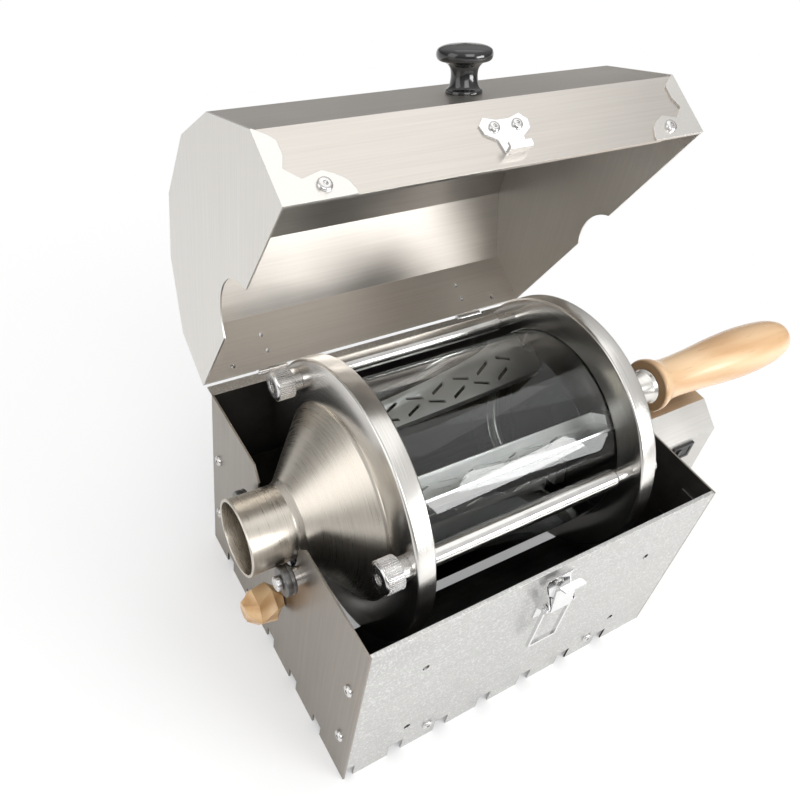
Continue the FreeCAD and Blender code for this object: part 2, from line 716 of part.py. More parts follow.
print("drum")
spin = axisHeight
funnel = newBody("funnel_spout", z=spin)
skin = drumSheet
turn(funnel, "funnelTurn", [
    (-1 * spoutReach, spoutRadius - skin), (-1 * spoutReach, spoutRadius + 0.6),
    (-1 * spoutReach + 1.4, spoutRadius + 0.6), (-1 * spoutReach + 1.4, spoutRadius),
    (-1 * coneEnd - 2, spoutRadius), (-1 * coneEnd, spoutRadius + 1), (-1 * ringFace - 1, coneRadius),
    (-1 * ringFace, coneRadius + 0.5), (-1 * ringFace + 4, coneRadius + 0.5), (-1 * ringFace + 4, coneRadius - skin),
    (-1 * coneEnd + 0.8, spoutRadius + 0.4), (-1 * coneEnd - 1.6, spoutRadius - skin)])
frontRing = newBody("front_ring", z=spin)
turn(frontRing, "frontRingTurn", [
    (-1 * ringFace, coneRadius + 0.6), (-1 * ringFace, ringRadius - 1), (-1 * ringFace + 1, ringRadius),
    (-1 * ringFace + ringWidth - 1, ringRadius), (-1 * ringFace + ringWidth, ringRadius - 1),
    (-1 * ringFace + ringWidth, glassRadius + 0.4), (-1 * ringFace + 6.2, glassRadius + 0.4),
    (-1 * ringFace + 6.2, coneRadius - 1), (-1 * ringFace + 4.2, coneRadius - 1), (-1 * ringFace + 4.2, coneRadius + 0.6)])
holes = newSketch(frontRing, "frontRingHoles", "yz", -1 * ringFace - 1)
rodAngles = [20, 140, 260]
rodAt = []
for a in rodAngles:
    offset = rodFirstAngle.value - 20
    angle = math.radians(a + offset)
    rodAt.append((-1 * rodCircle * math.cos(angle), rodCircle * math.sin(angle)))
for y, z in rodAt:
    circle(holes, y, z, rodTip + 0.1)
cut(frontRing, holes, ringWidth + 2)
rearRing = newBody("rear_ring", z=spin)
turn(rearRing, "rearRingTurn", [
    (ringFace + 1, shaftRadius), (ringFace + 1, ringRadius - 1), (ringFace, ringRadius),
    (ringFace + 2 - ringWidth, ringRadius), (ringFace + 1 - ringWidth, ringRadius - 1),
    (ringFace + 1 - ringWidth, glassRadius + 0.4), (ringFace - 5.2, glassRadius + 0.4), (ringFace - 5.2, 55),
    (ringFace - 2, 55), (ringFace - 2, shaftRadius)])
holes = newSketch(rearRing, "rearRingHoles", "yz", ringFace + 2)
for y, z in rodAt:
    circle(holes, y, z, rodTip + 0.1)
cut(rearRing, holes, ringWidth + 3)
glassFrom = -1 * ringFace + 6.2 + gasketThick
glassTo = ringFace - 5.2 - gasketThick
for name, start in (("front_gasket", -1 * ringFace + 6.2), ("rear_gasket", glassTo)):
    gasket = newBody(name, z=spin)
    turn(gasket, name + "Turn", [(start, glassRadius - glassWall), (start + gasketThick, glassRadius - glassWall),
                                 (start + gasketThick, glassRadius), (start, glassRadius)])
glass = newBody("glass_tube", z=spin)
turn(glass, "glassTurn", [(glassFrom, glassRadius - glassWall), (glassTo, glassRadius - glassWall),
                          (glassTo, glassRadius), (glassFrom, glassRadius)])

rod = newBody("tieRod", keep=False)
rodFrom = -1 * ringFace + ringWidth
rodTo = ringFace + 1 - ringWidth
turn(rod, "tieRodTurn", [(rodFrom - ringWidth - 15, 0), (rodFrom - ringWidth - 15, rodTip - 0.6),
                         (rodFrom - ringWidth - 14.4, rodTip), (rodFrom, rodTip), (rodFrom, rodRadius),
                         (rodTo - 14, rodRadius), (rodTo - 12, rodTip + 0.6), (rodTo, rodTip + 0.6),
                         (rodTo, rodTip), (rodTo + ringWidth + 5, rodTip), (rodTo + ringWidth + 5, 0)])
rodPlaces = [((0, y, z + spin), upright) for y, z in rodAt]
group("tie_rods", rod, rodPlaces)
thumbNut = newBody("thumbNut", keep=False)
turn(thumbNut, "thumbNutTurn", [(-1 * ringFace - 5, rodTip + 0.1), (-1 * ringFace, rodTip + 0.1),
                                (-1 * ringFace, 7), (-1 * ringFace - 5, 7), (-1 * ringFace - 5.6, nutRadius),
                                (-1 * ringFace - 16, nutRadius), (-1 * ringFace - 17, nutRadius - 1.2),
                                (-1 * ringFace - 17, 3.4), (-1 * ringFace - 15.2, 3.4),
                                (-1 * ringFace - 15.2, rodTip + 0.1)])
groove = newSketch(thumbNut, "thumbNutGroove", "yz", -1 * ringFace - 18)
outline(groove, [(nutRadius - 0.8, 0), (nutRadius + 1, -0.9), (nutRadius + 1, 0.9)])
feature = cut(thumbNut, groove, 12.6)
polar(thumbNut, feature, "X_Axis", 20)
group("thumb_nuts", thumbNut, rodPlaces)
capNut = newBody("capNut", keep=False)
turn(capNut, "capNutTurn", [(ringFace + 1, rodTip + 0.1), (ringFace + 1, 7.5), (ringFace + 5.5, 7.5),
                            (ringFace + 7.5, 5.5), (ringFace + 8.4, 0), (ringFace + 7.2, 0),
                            (ringFace + 7.2, rodTip + 0.1)])
group("rear_cap_nuts", capNut, rodPlaces)

vane = newBody("stirring_vane_template", keep=False)
blade = newSketch(vane, "vaneBlade", "xz", -0.75)
vaneOuter = glassRadius - glassWall - 2
outline(blade, [(-1 * ringFace + 9, vaneOuter - 26), (-1 * ringFace + 9, vaneOuter), (ringFace - 8, vaneOuter),
                (ringFace - 8, vaneOuter - 26)])
pad(vane, blade, vaneThick)
lip = newSketch(vane, "vaneLip", "xy", vaneOuter - 26)
rectangle(lip, -1 * ringFace + 9, 0.75, ringFace - 8, 7)
pad(vane, lip, vaneThick)
foot = newSketch(vane, "vaneFoot", "yz", ringFace - 8)
rectangle(foot, -0.75, vaneOuter - 26, 7, vaneOuter - 9)
pad(vane, foot, 6)
windowsCut = newSketch(vane, "vaneSlots", "xz", -3)
for i in range(9):
    for j in range(2):
        x = -66 + 15 * i + (4 if j else 0)
        z = vaneOuter - 20 + 9 * j
        rise = 5 if (i + j) % 2 else -5
        outline(windowsCut, [(x, z + rise / 2), (x + 9, z - rise / 2), (x + 9, z - rise / 2 + 2.4),
                             (x, z + rise / 2 + 2.4)])
cut(vane, windowsCut, 6)
vanePlaces = [((0, 0, spin), Rotation(Vector(1, 0, 0), a)) for a in (50, 170, 290)]
group("stirring_vanes", vane, vanePlaces)

shaft = newBody("drive_shaft", z=spin)
turn(shaft, "shaftTurn", [
    (ringFace - 3.2, 0), (ringFace - 3.2, 14), (ringFace - 2, 14), (ringFace - 2, shaftRadius - 0.02),
    (ringFace + 1, shaftRadius - 0.02), (ringFace + 1, 15), (ringFace + 5, 15), (ringFace + 5, 11),
    (half - 7, 11), (half - 7, shaftRadius), (gearStart - 2.5, shaftRadius),
    (gearStart - 2.5, shaftRadius - 0.02), (gearStart + gearWidth, shaftRadius - 0.02),
    (gearStart + gearWidth, shaftRadius), (shaftEnd - 12, shaftRadius), (shaftEnd - 12, 4), (shaftEnd + 40, 4),
    (shaftEnd + 40, 0)])
collar = newBody("gear_collar", z=spin)
turn(collar, "collarTurn", [(gearStart + gearWidth, shaftRadius), (gearStart + gearWidth + 7, shaftRadius),
                            (gearStart + gearWidth + 7, 12), (gearStart + gearWidth + 6, 13),
                            (gearStart + gearWidth, 13)])
dogs = newSketch(collar, "collarTeeth", "yz", gearStart + gearWidth + 4)
outline(dogs, [(11, -1.6), (14, -1.6), (14, 1.6), (11, 1.6)])
feature = cut(collar, dogs, 5)
polar(collar, feature, "X_Axis", 8)
bearing = newBody("rear_bearing", half - sheet / 2, 0, spin)
turn(bearing, "bearingTurn", [(-5, shaftRadius + runningGap), (5, shaftRadius + runningGap), (5, 18), (4, 19),
                              (0.9, 19), (0.9, bearingRadius - 0.08), (-0.9, bearingRadius - 0.08), (-0.9, 19),
                              (-4, 19), (-5, 18)])
ferrule = newBody("handle_ferrule", z=spin)
turn(ferrule, "ferruleTurn", [(shaftEnd - 12, 4.1), (shaftEnd - 12, 9), (shaftEnd - 3, 12), (shaftEnd - 1, 13.5),
                              (shaftEnd - 0.2, 13.5), (shaftEnd - 0.2, 4.1)])
handle = newBody("wooden_handle", z=spin)
stations = [(0, 19.2), (1.5, 20), (6, 19.4), (13, 16.6), (24, 15.4), (46, 16.2), (78, 18.6), (104, 19.5),
            (130, 18.2), (146, 15.2), (154, 10.5), (157.4, 5)]
sections = []
for i, (along, radius) in enumerate(stations):
    section = newSketch(handle, "handleSection%d" % i, "yz", shaftEnd + (handleTip - shaftEnd) * (along / 158.0))
    circle(section, 0, 0, handleFlare * (radius / 20.0))
    sections.append(section)
loft = handle.newObject("PartDesign::AdditiveLoft", "handleLoft")
loft.Profile = sections[0]
loft.Sections = sections[1:]
bore = newSketch(handle, "handleBore", "yz", shaftEnd - 1)
circle(bore, 0, 0, 4.1)
cut(handle, bore, 42)

print("lid")
lidPieces = []


def lidBody(name):
    body = newBody(name)
    lidPieces.append(body)
    return body


lidLow = rimHeight + lidGap
lidFront = front
lidBack = boxDepth / 2
profile = [(lidBack, lidLow), (lidBack, rimHeight + lidSide), (lidBack - lidShoulderIn, rimHeight + lidShoulder),
           (lidCrownHalf, rimHeight + lidCrown), (-1 * lidCrownHalf, rimHeight + lidCrown),
           (lidFront + lidShoulderIn, rimHeight + lidShoulder), (lidFront, rimHeight + lidSide), (lidFront, lidLow)]
t = lidSheet
insideProfile = [(lidFront + t, lidLow), (lidFront + t, rimHeight + lidSide - t * 0.4),
                 (lidFront + lidShoulderIn + t * 0.5, rimHeight + lidShoulder - t * 0.9),
                 (-1 * lidCrownHalf + t * 0.2, rimHeight + lidCrown - t),
                 (lidCrownHalf - t * 0.2, rimHeight + lidCrown - t),
                 (lidBack - lidShoulderIn - t * 0.5, rimHeight + lidShoulder - t * 0.9),
                 (lidBack - t, rimHeight + lidSide - t * 0.4), (lidBack - t, lidLow)]
cover = lidBody("lid_cover")
section = newSketch(cover, "coverSection", "yz", -1 * (lidHalf - t))
outline(section, profile + insideProfile)
pad(cover, section, (lidHalf - t) * 2)
lip = newSketch(cover, "coverHem", "yz", -1 * (lidHalf - t - 30))
rectangle(lip, lidFront + t, lidLow, lidFront + t * 2, lidLow + 6)
pad(cover, lip, (lidHalf - t - 30) * 2)
coverHoles = newSketch(cover, "coverHoles", "xz", -1 * lidBack - 2)
for side in (-1, 1):
    circle(coverHoles, side * (lidHalf - 22), lidLow + 6.5, screwHole)
cut(cover, coverHoles, boxDepth + 4)
leafHoles = newSketch(cover, "coverLeafHoles", "xz", -1 * lidBack - 2)
for side in (-1, 1):
    for w in (11.5, 23):
        circle(leafHoles, side * hingePlace, rimHeight + w, screwHole)
cut(cover, leafHoles, 6)
catchHolesInCover = newSketch(cover, "coverCatchHoles", "xz", -1 * lidFront - 4)
for x in (-7, 7):
    circle(catchHolesInCover, x, rimHeight + 22, screwHole)
cut(cover, catchHolesInCover, 6)

waveX = [0, 5, 8.6, 8.6, 6, 12.5, 22.5, 28, 33, 35, 35]
waveZ = [40, 36.5, 33, 25, 18.5, 12.2, 15, 12.3, 8.1, 3.1, 0]
for name, side, notchRadius in (("lid_left_end", -1, 34), ("lid_right_end", 1, 24)):
    end = lidBody(name)
    section = newSketch(end, name + "Plate", "yz", side * lidHalf - (t if side > 0 else 0))
    plate = [(lidBack + t, lidLow), (lidBack + t, rimHeight + lidSide)] + profile[2:6]
    plate += [(lidFront - t, rimHeight + lidSide), (lidFront - t, lidLow)]
    outline(section, plate)
    pad(end, section, t)
    notch = newSketch(end, name + "Notch", "yz", side * lidHalf - 3)
    circle(notch, 0, axisHeight, notchRadius)
    cut(end, notch, 6)
    for wallName, wallAt in (("Front", -1 * lidFront), ("Rear", -1 * lidBack - t)):
        wave = newSketch(end, name + wallName, "xz", wallAt)
        points = []
        for x, z in zip(waveX, waveZ):
            high = lidSide if z == 40 else z * lidSide / 40
            points.append((side * (lidHalf - t - x), lidLow if z == 0 else rimHeight + high))
        points.append((side * (lidHalf - t), lidLow))
        outline(wave, points)
        pad(end, wave, t)
    holes = newSketch(end, name + "Holes", "xz", -1 * lidBack - 2)
    circle(holes, side * (lidHalf - 22), lidLow + 6.5, screwHole)
    cut(end, holes, boxDepth + 4)

lidScrew = screwTemplate("lidScrew", 3.6, 2.0, screwShank, 4.6)
places = []
for side in (-1, 1):
    x = side * (lidHalf - 22)
    places.append(((x, lidFront - t, lidLow + 6.5), toMinusY))
    places.append(((x, lidBack + t, lidLow + 6.5), toPlusY))
lidPieces.append(group("lid_end_screws", lidScrew, places))

# The knob stands square on the slope above the front face.
slope = math.degrees(math.atan2((lidShoulder - lidSide).value, lidShoulderIn.value))
knobAcross = lidFront + lidShoulderIn * 0.45
knobUp = rimHeight + lidSide + (lidShoulder - lidSide) * 0.45
knob = lidBody("lid_knob")
sketch = newSketch(knob, "lidKnobProfile", "xz")
outline(sketch, [(0, 0.1), (9.5, 0.1), (9.5, 1.6), (7.6, 3.2), (6.8, 8), (7.4, 12), (9.5, 14.2), (13, 15.2),
                 (14.2, 17), (14.2, 19.4), (13, 21.2), (9, 22.6), (0, 23.4)])
feature = knob.newObject("PartDesign::Revolution", "lidKnobTurn")
feature.Profile = sketch
feature.ReferenceAxis = (sketch, ["V_Axis"])
feature.Angle = 360
bore = newSketch(knob, "lidKnobBore", "xy", -1)
circle(bore, 0, 0, 2.1)
cut(knob, bore, 14)
knobScrew2 = lidBody("lid_knob_screw")
sketch = newSketch(knobScrew2, "lidKnobScrewProfile", "xz")
outline(sketch, [(0, -1 * t - 2), (3.4, -1 * t - 2), (4, -1 * t - 0.1), (1.95, -1 * t - 0.1), (1.95, 11), (0, 11)])
feature = knobScrew2.newObject("PartDesign::Revolution", "lidKnobScrewTurn")
feature.Profile = sketch
feature.ReferenceAxis = (sketch, ["V_Axis"])
feature.Angle = 360
knobTilt = Placement(Vector(0, knobAcross.value, knobUp.value), Rotation(Vector(1, 0, 0), slope))
knobHole = newSketch(cover, "knobHole", "xy", rimHeight + lidSide - 4)
circle(knobHole, 0, knobAcross, 2.4)
cut(cover, knobHole, 60)

catch = lidBody("catch_plate")
plateShape = newSketch(catch, "catchFace", "xz", -1 * lidFront)
outline(plateShape, [(-15, rimHeight + 24), (-11, rimHeight + 28), (-4, rimHeight + 26), (4, rimHeight + 26),
                     (11, rimHeight + 28), (15, rimHeight + 24), (14, rimHeight + 19), (8, rimHeight + 15),
                     (7, rimHeight + 7), (-7, rimHeight + 7), (-8, rimHeight + 15), (-14, rimHeight + 19)])
pad(catch, plateShape, 1)
hookShape = newSketch(catch, "catchHook", "yz", -7)
outline(hookShape, [(lidFront - 1, rimHeight + 7), (lidFront - 1, rimHeight + 8.2), (lidFront - 4.6, rimHeight + 8.8),
                    (lidFront - 4.6, rimHeight + 10.5), (lidFront - 5.8, rimHeight + 10.5),
                    (lidFront - 5.8, rimHeight + 7.6), (lidFront - 4.6, rimHeight + 7)])
pad(catch, hookShape, 14)
holes = newSketch(catch, "catchHoles", "xz", -1 * lidFront - 2)
for x in (-7, 7):
    circle(holes, x, rimHeight + 22, screwHole)
cut(catch, holes, 6)
smallScrew = screwTemplate("smallScrew", 2.9, 1.5, screwShank, 3.6)
lidPieces.append(group("catch_screws", smallScrew,
                       [((x, lidFront - 1, rimHeight + 22), toMinusY) for x in (-7, 7)]))

print("hinges")


def leafPiece(name, moving):
    body = newBody(name, keep=False)
    low = hingeHeight
    third = hingeHalf * 0.34
    spans = [(-1 * third, third)] if moving else [(-1 * hingeHalf, -1 * third - 0.2), (third + 0.2, hingeHalf)]
    for i, (a, b) in enumerate(spans):
        barrel = newSketch(body, "%sBarrel%d" % (name, i), "yz", a)
        circle(barrel, hingeBack, low, knuckleRadius)
        pad(body, barrel, b - a)
        neck = newSketch(body, "%sNeck%d" % (name, i), "yz", a)
        if moving:
            rectangle(neck, lidBack, low, lidBack + 0.9, lidLow + 4)
        else:
            rectangle(neck, back, low - knuckleRadius, hingeBack, low - knuckleRadius + 1)
        pad(body, neck, b - a)
    leaf = newSketch(body, name + "Leaf", "xz", -1 * (lidBack + 0.9) if moving else -1 * (back + 1))
    if moving:
        rectangle(leaf, -1 * hingeHalf, lidLow + 3, hingeHalf, rimHeight + 28)
    else:
        rectangle(leaf, -1 * hingeHalf, rimHeight - leafBelowRim, hingeHalf, low - knuckleRadius + 1)
    pad(body, leaf, 0.9 if moving else 1)
    bore = newSketch(body, name + "Bore", "yz", -16)
    circle(bore, hingeBack, low, hingePin + (0.05 if moving else 0.0))
    cut(body, bore, 32)
    return body


fixedLeaf = leafPiece("fixedLeaf", False)
holes = newSketch(fixedLeaf, "fixedLeafHoles", "xz", -1 * back - 2)
for z in leafScrews:
    circle(holes, 0, z, screwHole)
cut(fixedLeaf, holes, 3)
movingLeaf = leafPiece("movingLeaf", True)
holes = newSketch(movingLeaf, "movingLeafHoles", "xz", -1 * lidBack - 2)
for w in (11.5, 23):
    circle(holes, 0, rimHeight + w, screwHole)
cut(movingLeaf, holes, 3)
hingeXs = [-1 * hingePlace, hingePlace]
group("hinge_fixed_leaves", fixedLeaf, [((x, 0, 0), upright) for x in hingeXs])
pinBody = newBody("hingePinPiece", keep=False)
pinEnd = hingeHalf + 0.6
turn(pinBody, "hingePinTurn", [(-1 * pinEnd, 0), (-1 * pinEnd, hingePin), (pinEnd, hingePin), (pinEnd, 0)])
group("hinge_pins", pinBody, [((x, hingeBack, hingeHeight), upright) for x in hingeXs])
group("hinge_fixed_screws", smallScrew,
      [((x, back + 1, z), toPlusY) for x in hingeXs for z in leafScrews])
lidPieces.append(group("hinge_lid_leaves", movingLeaf, [((x, 0, 0), upright) for x in hingeXs]))
lidPieces.append(group("hinge_lid_screws", smallScrew,
                       [((x, lidBack + 0.9, rimHeight + w), toPlusY) for x in hingeXs for w in (11.5, 23)]))

print("latch")
pinOut = front - latchPinOut
latchBase = newBody("latch_base")
plateShape = newSketch(latchBase, "latchPlate", "xz", -1 * front)
rectangle(plateShape, -9, latchPinHeight - 19, 9, latchPinHeight + 19)
pad(latchBase, plateShape, 1)
for side in (-1, 1):
    ear = newSketch(latchBase, "latchEar%d" % (side + 1), "yz", 8 if side > 0 else -9)
    outline(ear, [(front - 1, latchPinHeight - 8), (front - 1, latchPinHeight + 14), (pinOut - 2.2, latchPinHeight + 1),
                  (pinOut - 2.2, latchPinHeight - 2), (pinOut, latchPinHeight - 3)])
    pad(latchBase, ear, 1)
pivotHoles = newSketch(latchBase, "latchPivotHoles", "yz", -12)
circle(pivotHoles, pinOut, latchPinHeight, latchPinRadius)
cut(latchBase, pivotHoles, 24)
holes = newSketch(latchBase, "latchHoles", "xz", -1 * front - 2)
for z in (-14, 14):
    circle(holes, 0, latchPinHeight + z, screwHole)
cut(latchBase, holes, 5)
group("latch_screws", smallScrew, [((0, front - 1, latchPinHeight + z), toMinusY) for z in (-14, 14)])
latchPin = newBody("latch_pin", 0, pinOut, latchPinHeight)
turn(latchPin, "latchPinTurn", [(-12, 0), (-12, latchPinRadius), (12, latchPinRadius), (12, 0)])
lever = newBody("latch_lever", 0, pinOut, latchPinHeight)
strap = newSketch(lever, "leverStrap", "yz", -7.6)
outline(strap, [(-1.6, -2.2), (-0.4, 10), (0.6, 17), (-1.2, 21.4), (-5.6, 23.4), (-6, 22.4), (-2.2, 20.4),
                (-0.5, 16.8), (-1.5, 10), (-2.8, -2.2)])
pad(lever, strap, 15.2)
for side in (-1, 1):
    cheek = newSketch(lever, "leverCheek%d" % (side + 1), "yz", 6.6 if side > 0 else -7.6)
    outline(cheek, [(2.1, -2.2), (-2.4, -2.2), (-1, 10), (3.6, 6)])
    pad(lever, cheek, 1)
bore = newSketch(lever, "leverBore", "yz", -12)
circle(bore, 0, 0, latchPinRadius + runningGap)
cut(lever, bore, 24)
bail = newBody("latch_bail", 0, pinOut, latchPinHeight)
for side in (-1, 1):
    leg = newSketch(bail, "bailLeg%d" % (side + 1), "yz", 9.4 if side > 0 else -11)
    outline(leg, [(2.2, 2.2), (-2.2, 2.2), (-2.2, -1.6), (-1, -3.4), (-1, -1 * bailLength), (1, -1 * bailLength),
                  (1, -3.4), (2.2, -1.6)])
    pad(bail, leg, 1.6)
bar = newSketch(bail, "bailBar", "yz", -11)
rectangle(bar, -1, -1 * bailLength, 1, -1 * bailLength + 2)
pad(bail, bar, 22)
bore = newSketch(bail, "bailBore", "yz", -12)
circle(bore, 0, 0, latchPinRadius + runningGap)
cut(bail, bore, 24)
doc.recompute()

# The lid is drawn shut and then swung open about the hinge line.
turnBack = Rotation(Vector(1, 0, 0), -lidOpen.value)
swing = Placement(Vector(0, 0, 0), turnBack, Vector(0, hingeBack.value, hingeHeight.value))
cosText = "cos(Sizes.lidOpen * 1 deg)"
sinText = "sin(Sizes.lidOpen * 1 deg)"
for piece in lidPieces:
    onSlope = piece.Label in ("lid_knob", "lid_knob_screw")
    y = knobAcross if onSlope else asSize(0)
    z = knobUp if onSlope else asSize(0)
    piece.Placement = swing.multiply(knobTilt if onSlope else piece.Placement)
    back1 = "(%s - %s)" % (y.text, hingeBack.text)
    up1 = "(%s - %s)" % (z.text, hingeHeight.text)
    piece.setExpression("Placement.Base.y", "%s + %s * %s + %s * %s" % (hingeBack.text, back1, cosText, up1, sinText))
    piece.setExpression("Placement.Base.z", "%s - %s * %s + %s * %s" % (hingeHeight.text, back1, sinText, up1, cosText))
    piece.setExpression("Placement.Rotation.Angle", "%.6f + Sizes.lidOpen" % (-slope if onSlope else 0.0))
    piece.setExpression("Placement.Rotation.Axis.x", "-1")
doc.recompute()

os.makedirs("parts", exist_ok=True)
for old in os.listdir("parts"):
    os.remove(os.path.join("parts", old))
faults = 0
for thing in doc.Objects:
    if "Invalid" in thing.State or "Error" in thing.State:
        print("state", thing.Name, thing.State)
        faults += 1
for thing in exported:
    shape = thing.Shape
    if shape.isNull() or not shape.isValid() or not shape.Solids:
        print("bad shape", thing.Label)
        faults += 1
        continue
    for solid in shape.Solids:
        if solid.Volume <= 0:
            print("bad volume", thing.Label)
            faults += 1
    shape.exportStep(os.path.join("parts", thing.Label + ".step"))
    bounds = shape.BoundBox
    print("%-22s solids %2d  x %.1f..%.1f y %.1f..%.1f z %.1f..%.1f" % (
        thing.Label, len(shape.Solids), bounds.XMin, bounds.XMax, bounds.YMin, bounds.YMax, bounds.ZMin, bounds.ZMax))
print("pieces", len(exported), "faults", faults)
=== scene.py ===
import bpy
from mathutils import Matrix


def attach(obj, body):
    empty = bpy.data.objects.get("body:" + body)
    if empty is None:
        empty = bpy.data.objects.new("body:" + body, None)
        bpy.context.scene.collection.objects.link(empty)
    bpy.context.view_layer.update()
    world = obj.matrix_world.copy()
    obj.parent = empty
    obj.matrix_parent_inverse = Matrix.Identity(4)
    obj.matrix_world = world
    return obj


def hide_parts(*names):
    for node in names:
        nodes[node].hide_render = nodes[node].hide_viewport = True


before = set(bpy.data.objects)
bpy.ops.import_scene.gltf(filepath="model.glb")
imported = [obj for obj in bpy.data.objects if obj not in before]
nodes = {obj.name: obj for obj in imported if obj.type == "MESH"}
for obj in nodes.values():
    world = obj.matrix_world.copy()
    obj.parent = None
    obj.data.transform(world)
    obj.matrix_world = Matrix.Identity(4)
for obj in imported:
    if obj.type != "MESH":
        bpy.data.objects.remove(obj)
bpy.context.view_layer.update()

import math

import bmesh
import bpy
from mathutils import Matrix, Vector

mm = 0.001
axisUp = 130.0  # height of the drum's axis, in mm
box = {"half": 125, "front": -104, "rear": 97, "rim": 146, "sheet": 1.2}
lid = {"hinge": Vector((0, 105.2, 144.0)), "open": math.radians(-62), "side": 38, "slopeIn": 35, "slopeUp": 36}
lidSwing = (Matrix.Translation(lid["hinge"]) @ Matrix.Rotation(lid["open"], 4, "X")
            @ Matrix.Translation(-lid["hinge"]))


# Small helpers for shader trees.
class Shader:
    def __init__(self, name):
        self.mat = bpy.data.materials.new(name)
        self.mat.use_nodes = True
        self.tree = self.mat.node_tree
        self.bsdf = self.tree.nodes["Principled BSDF"]

    def add(self, kind, **values):
        node = self.tree.nodes.new(kind)
        for key, value in values.items():
            setattr(node, key, value)
        return node

    def link(self, a, b):
        self.tree.links.new(a, b)

    def coords(self, scale=(1, 1, 1), shift=(0, 0, 0)):
        place = self.add("ShaderNodeTexCoord")
        mapping = self.add("ShaderNodeMapping")
        mapping.inputs["Scale"].default_value = scale
        mapping.inputs["Location"].default_value = shift
        self.link(place.outputs["Object"], mapping.inputs["Vector"])
        return mapping.outputs["Vector"]

    def noise(self, vector, scale, detail=4, rough=0.5, distortion=0.0):
        node = self.add("ShaderNodeTexNoise")
        node.inputs["Scale"].default_value = scale
        node.inputs["Detail"].default_value = detail
        node.inputs["Roughness"].default_value = rough
        node.inputs["Distortion"].default_value = distortion
        self.link(vector, node.inputs["Vector"])
        return node.outputs["Fac"]

    def ramp(self, factor, stops):
        node = self.add("ShaderNodeValToRGB")
        band = node.color_ramp
        while len(band.elements) < len(stops):
            band.elements.new(0.5)
        for element, (at, colour) in zip(band.elements, stops):
            element.position = at
            element.color = (*colour, 1) if len(colour) == 3 else colour
        self.link(factor, node.inputs["Fac"])
        return node.outputs["Color"]

    def math(self, kind, a, b=None, clamp=False):
        node = self.add("ShaderNodeMath", operation=kind, use_clamp=clamp)
        for i, value in enumerate((a, b)):
            if value is None:
                continue
            if isinstance(value, (int, float)):
                node.inputs[i].default_value = value
            else:
                self.link(value, node.inputs[i])
        return node.outputs[0]

    def mapRange(self, value, low, high, toLow, toHigh):
        node = self.add("ShaderNodeMapRange")
        for i, v in enumerate((low, high, toLow, toHigh)):
            node.inputs[i + 1].default_value = v
        self.link(value, node.inputs[0])
        return node.outputs[0]

    def mix(self, factor, a, b):
        node = self.add("ShaderNodeMix", data_type="RGBA")
        if isinstance(factor, (int, float)):
            node.inputs[0].default_value = factor
        else:
            self.link(factor, node.inputs[0])
        for socket, value in ((6, a), (7, b)):
            if isinstance(value, tuple):
                node.inputs[socket].default_value = (*value, 1)
            else:
                self.link(value, node.inputs[socket])
        return node.outputs[2]

    def bump(self, height, strength, distance, edge=0.0):
        node = self.add("ShaderNodeBump")
        node.inputs["Strength"].default_value = strength
        node.inputs["Distance"].default_value = distance
        self.link(height, node.inputs["Height"])
        if edge:
            soft = self.add("ShaderNodeBevel", samples=4)
            soft.inputs["Radius"].default_value = edge
            self.link(soft.outputs[0], node.inputs["Normal"])
        self.link(node.outputs[0], self.bsdf.inputs["Normal"])

    def put(self, **values):
        for key, value in values.items():
            socket = self.bsdf.inputs[key.replace("_", " ")]
            if isinstance(value, (int, float, tuple)):
                socket.default_value = (*value, 1) if isinstance(value, tuple) and len(value) == 3 else value
            else:
                self.link(value, socket)


drum = {"ringFace": 86, "ringWidth": 12.5, "ringRadius": 87, "bevel": 1, "coneRadius": 61, "spoutRadius": 22.5,
        "sheet": 1.2, "glassRadius": 66, "glassWall": 3, "glassGap": 0.4, "glassFrom": -78.8, "glassTo": 79.8,
        "rodCircle": 76, "rodRadius": 6, "rodTip": 4, "rodAngles": (20, 140, 260), "shaftRadius": 8,
        "darkenedHalf": 85.3}

print("materials")
sheetFinish = {"rough": (0.27, 0.42), "grain": 900}
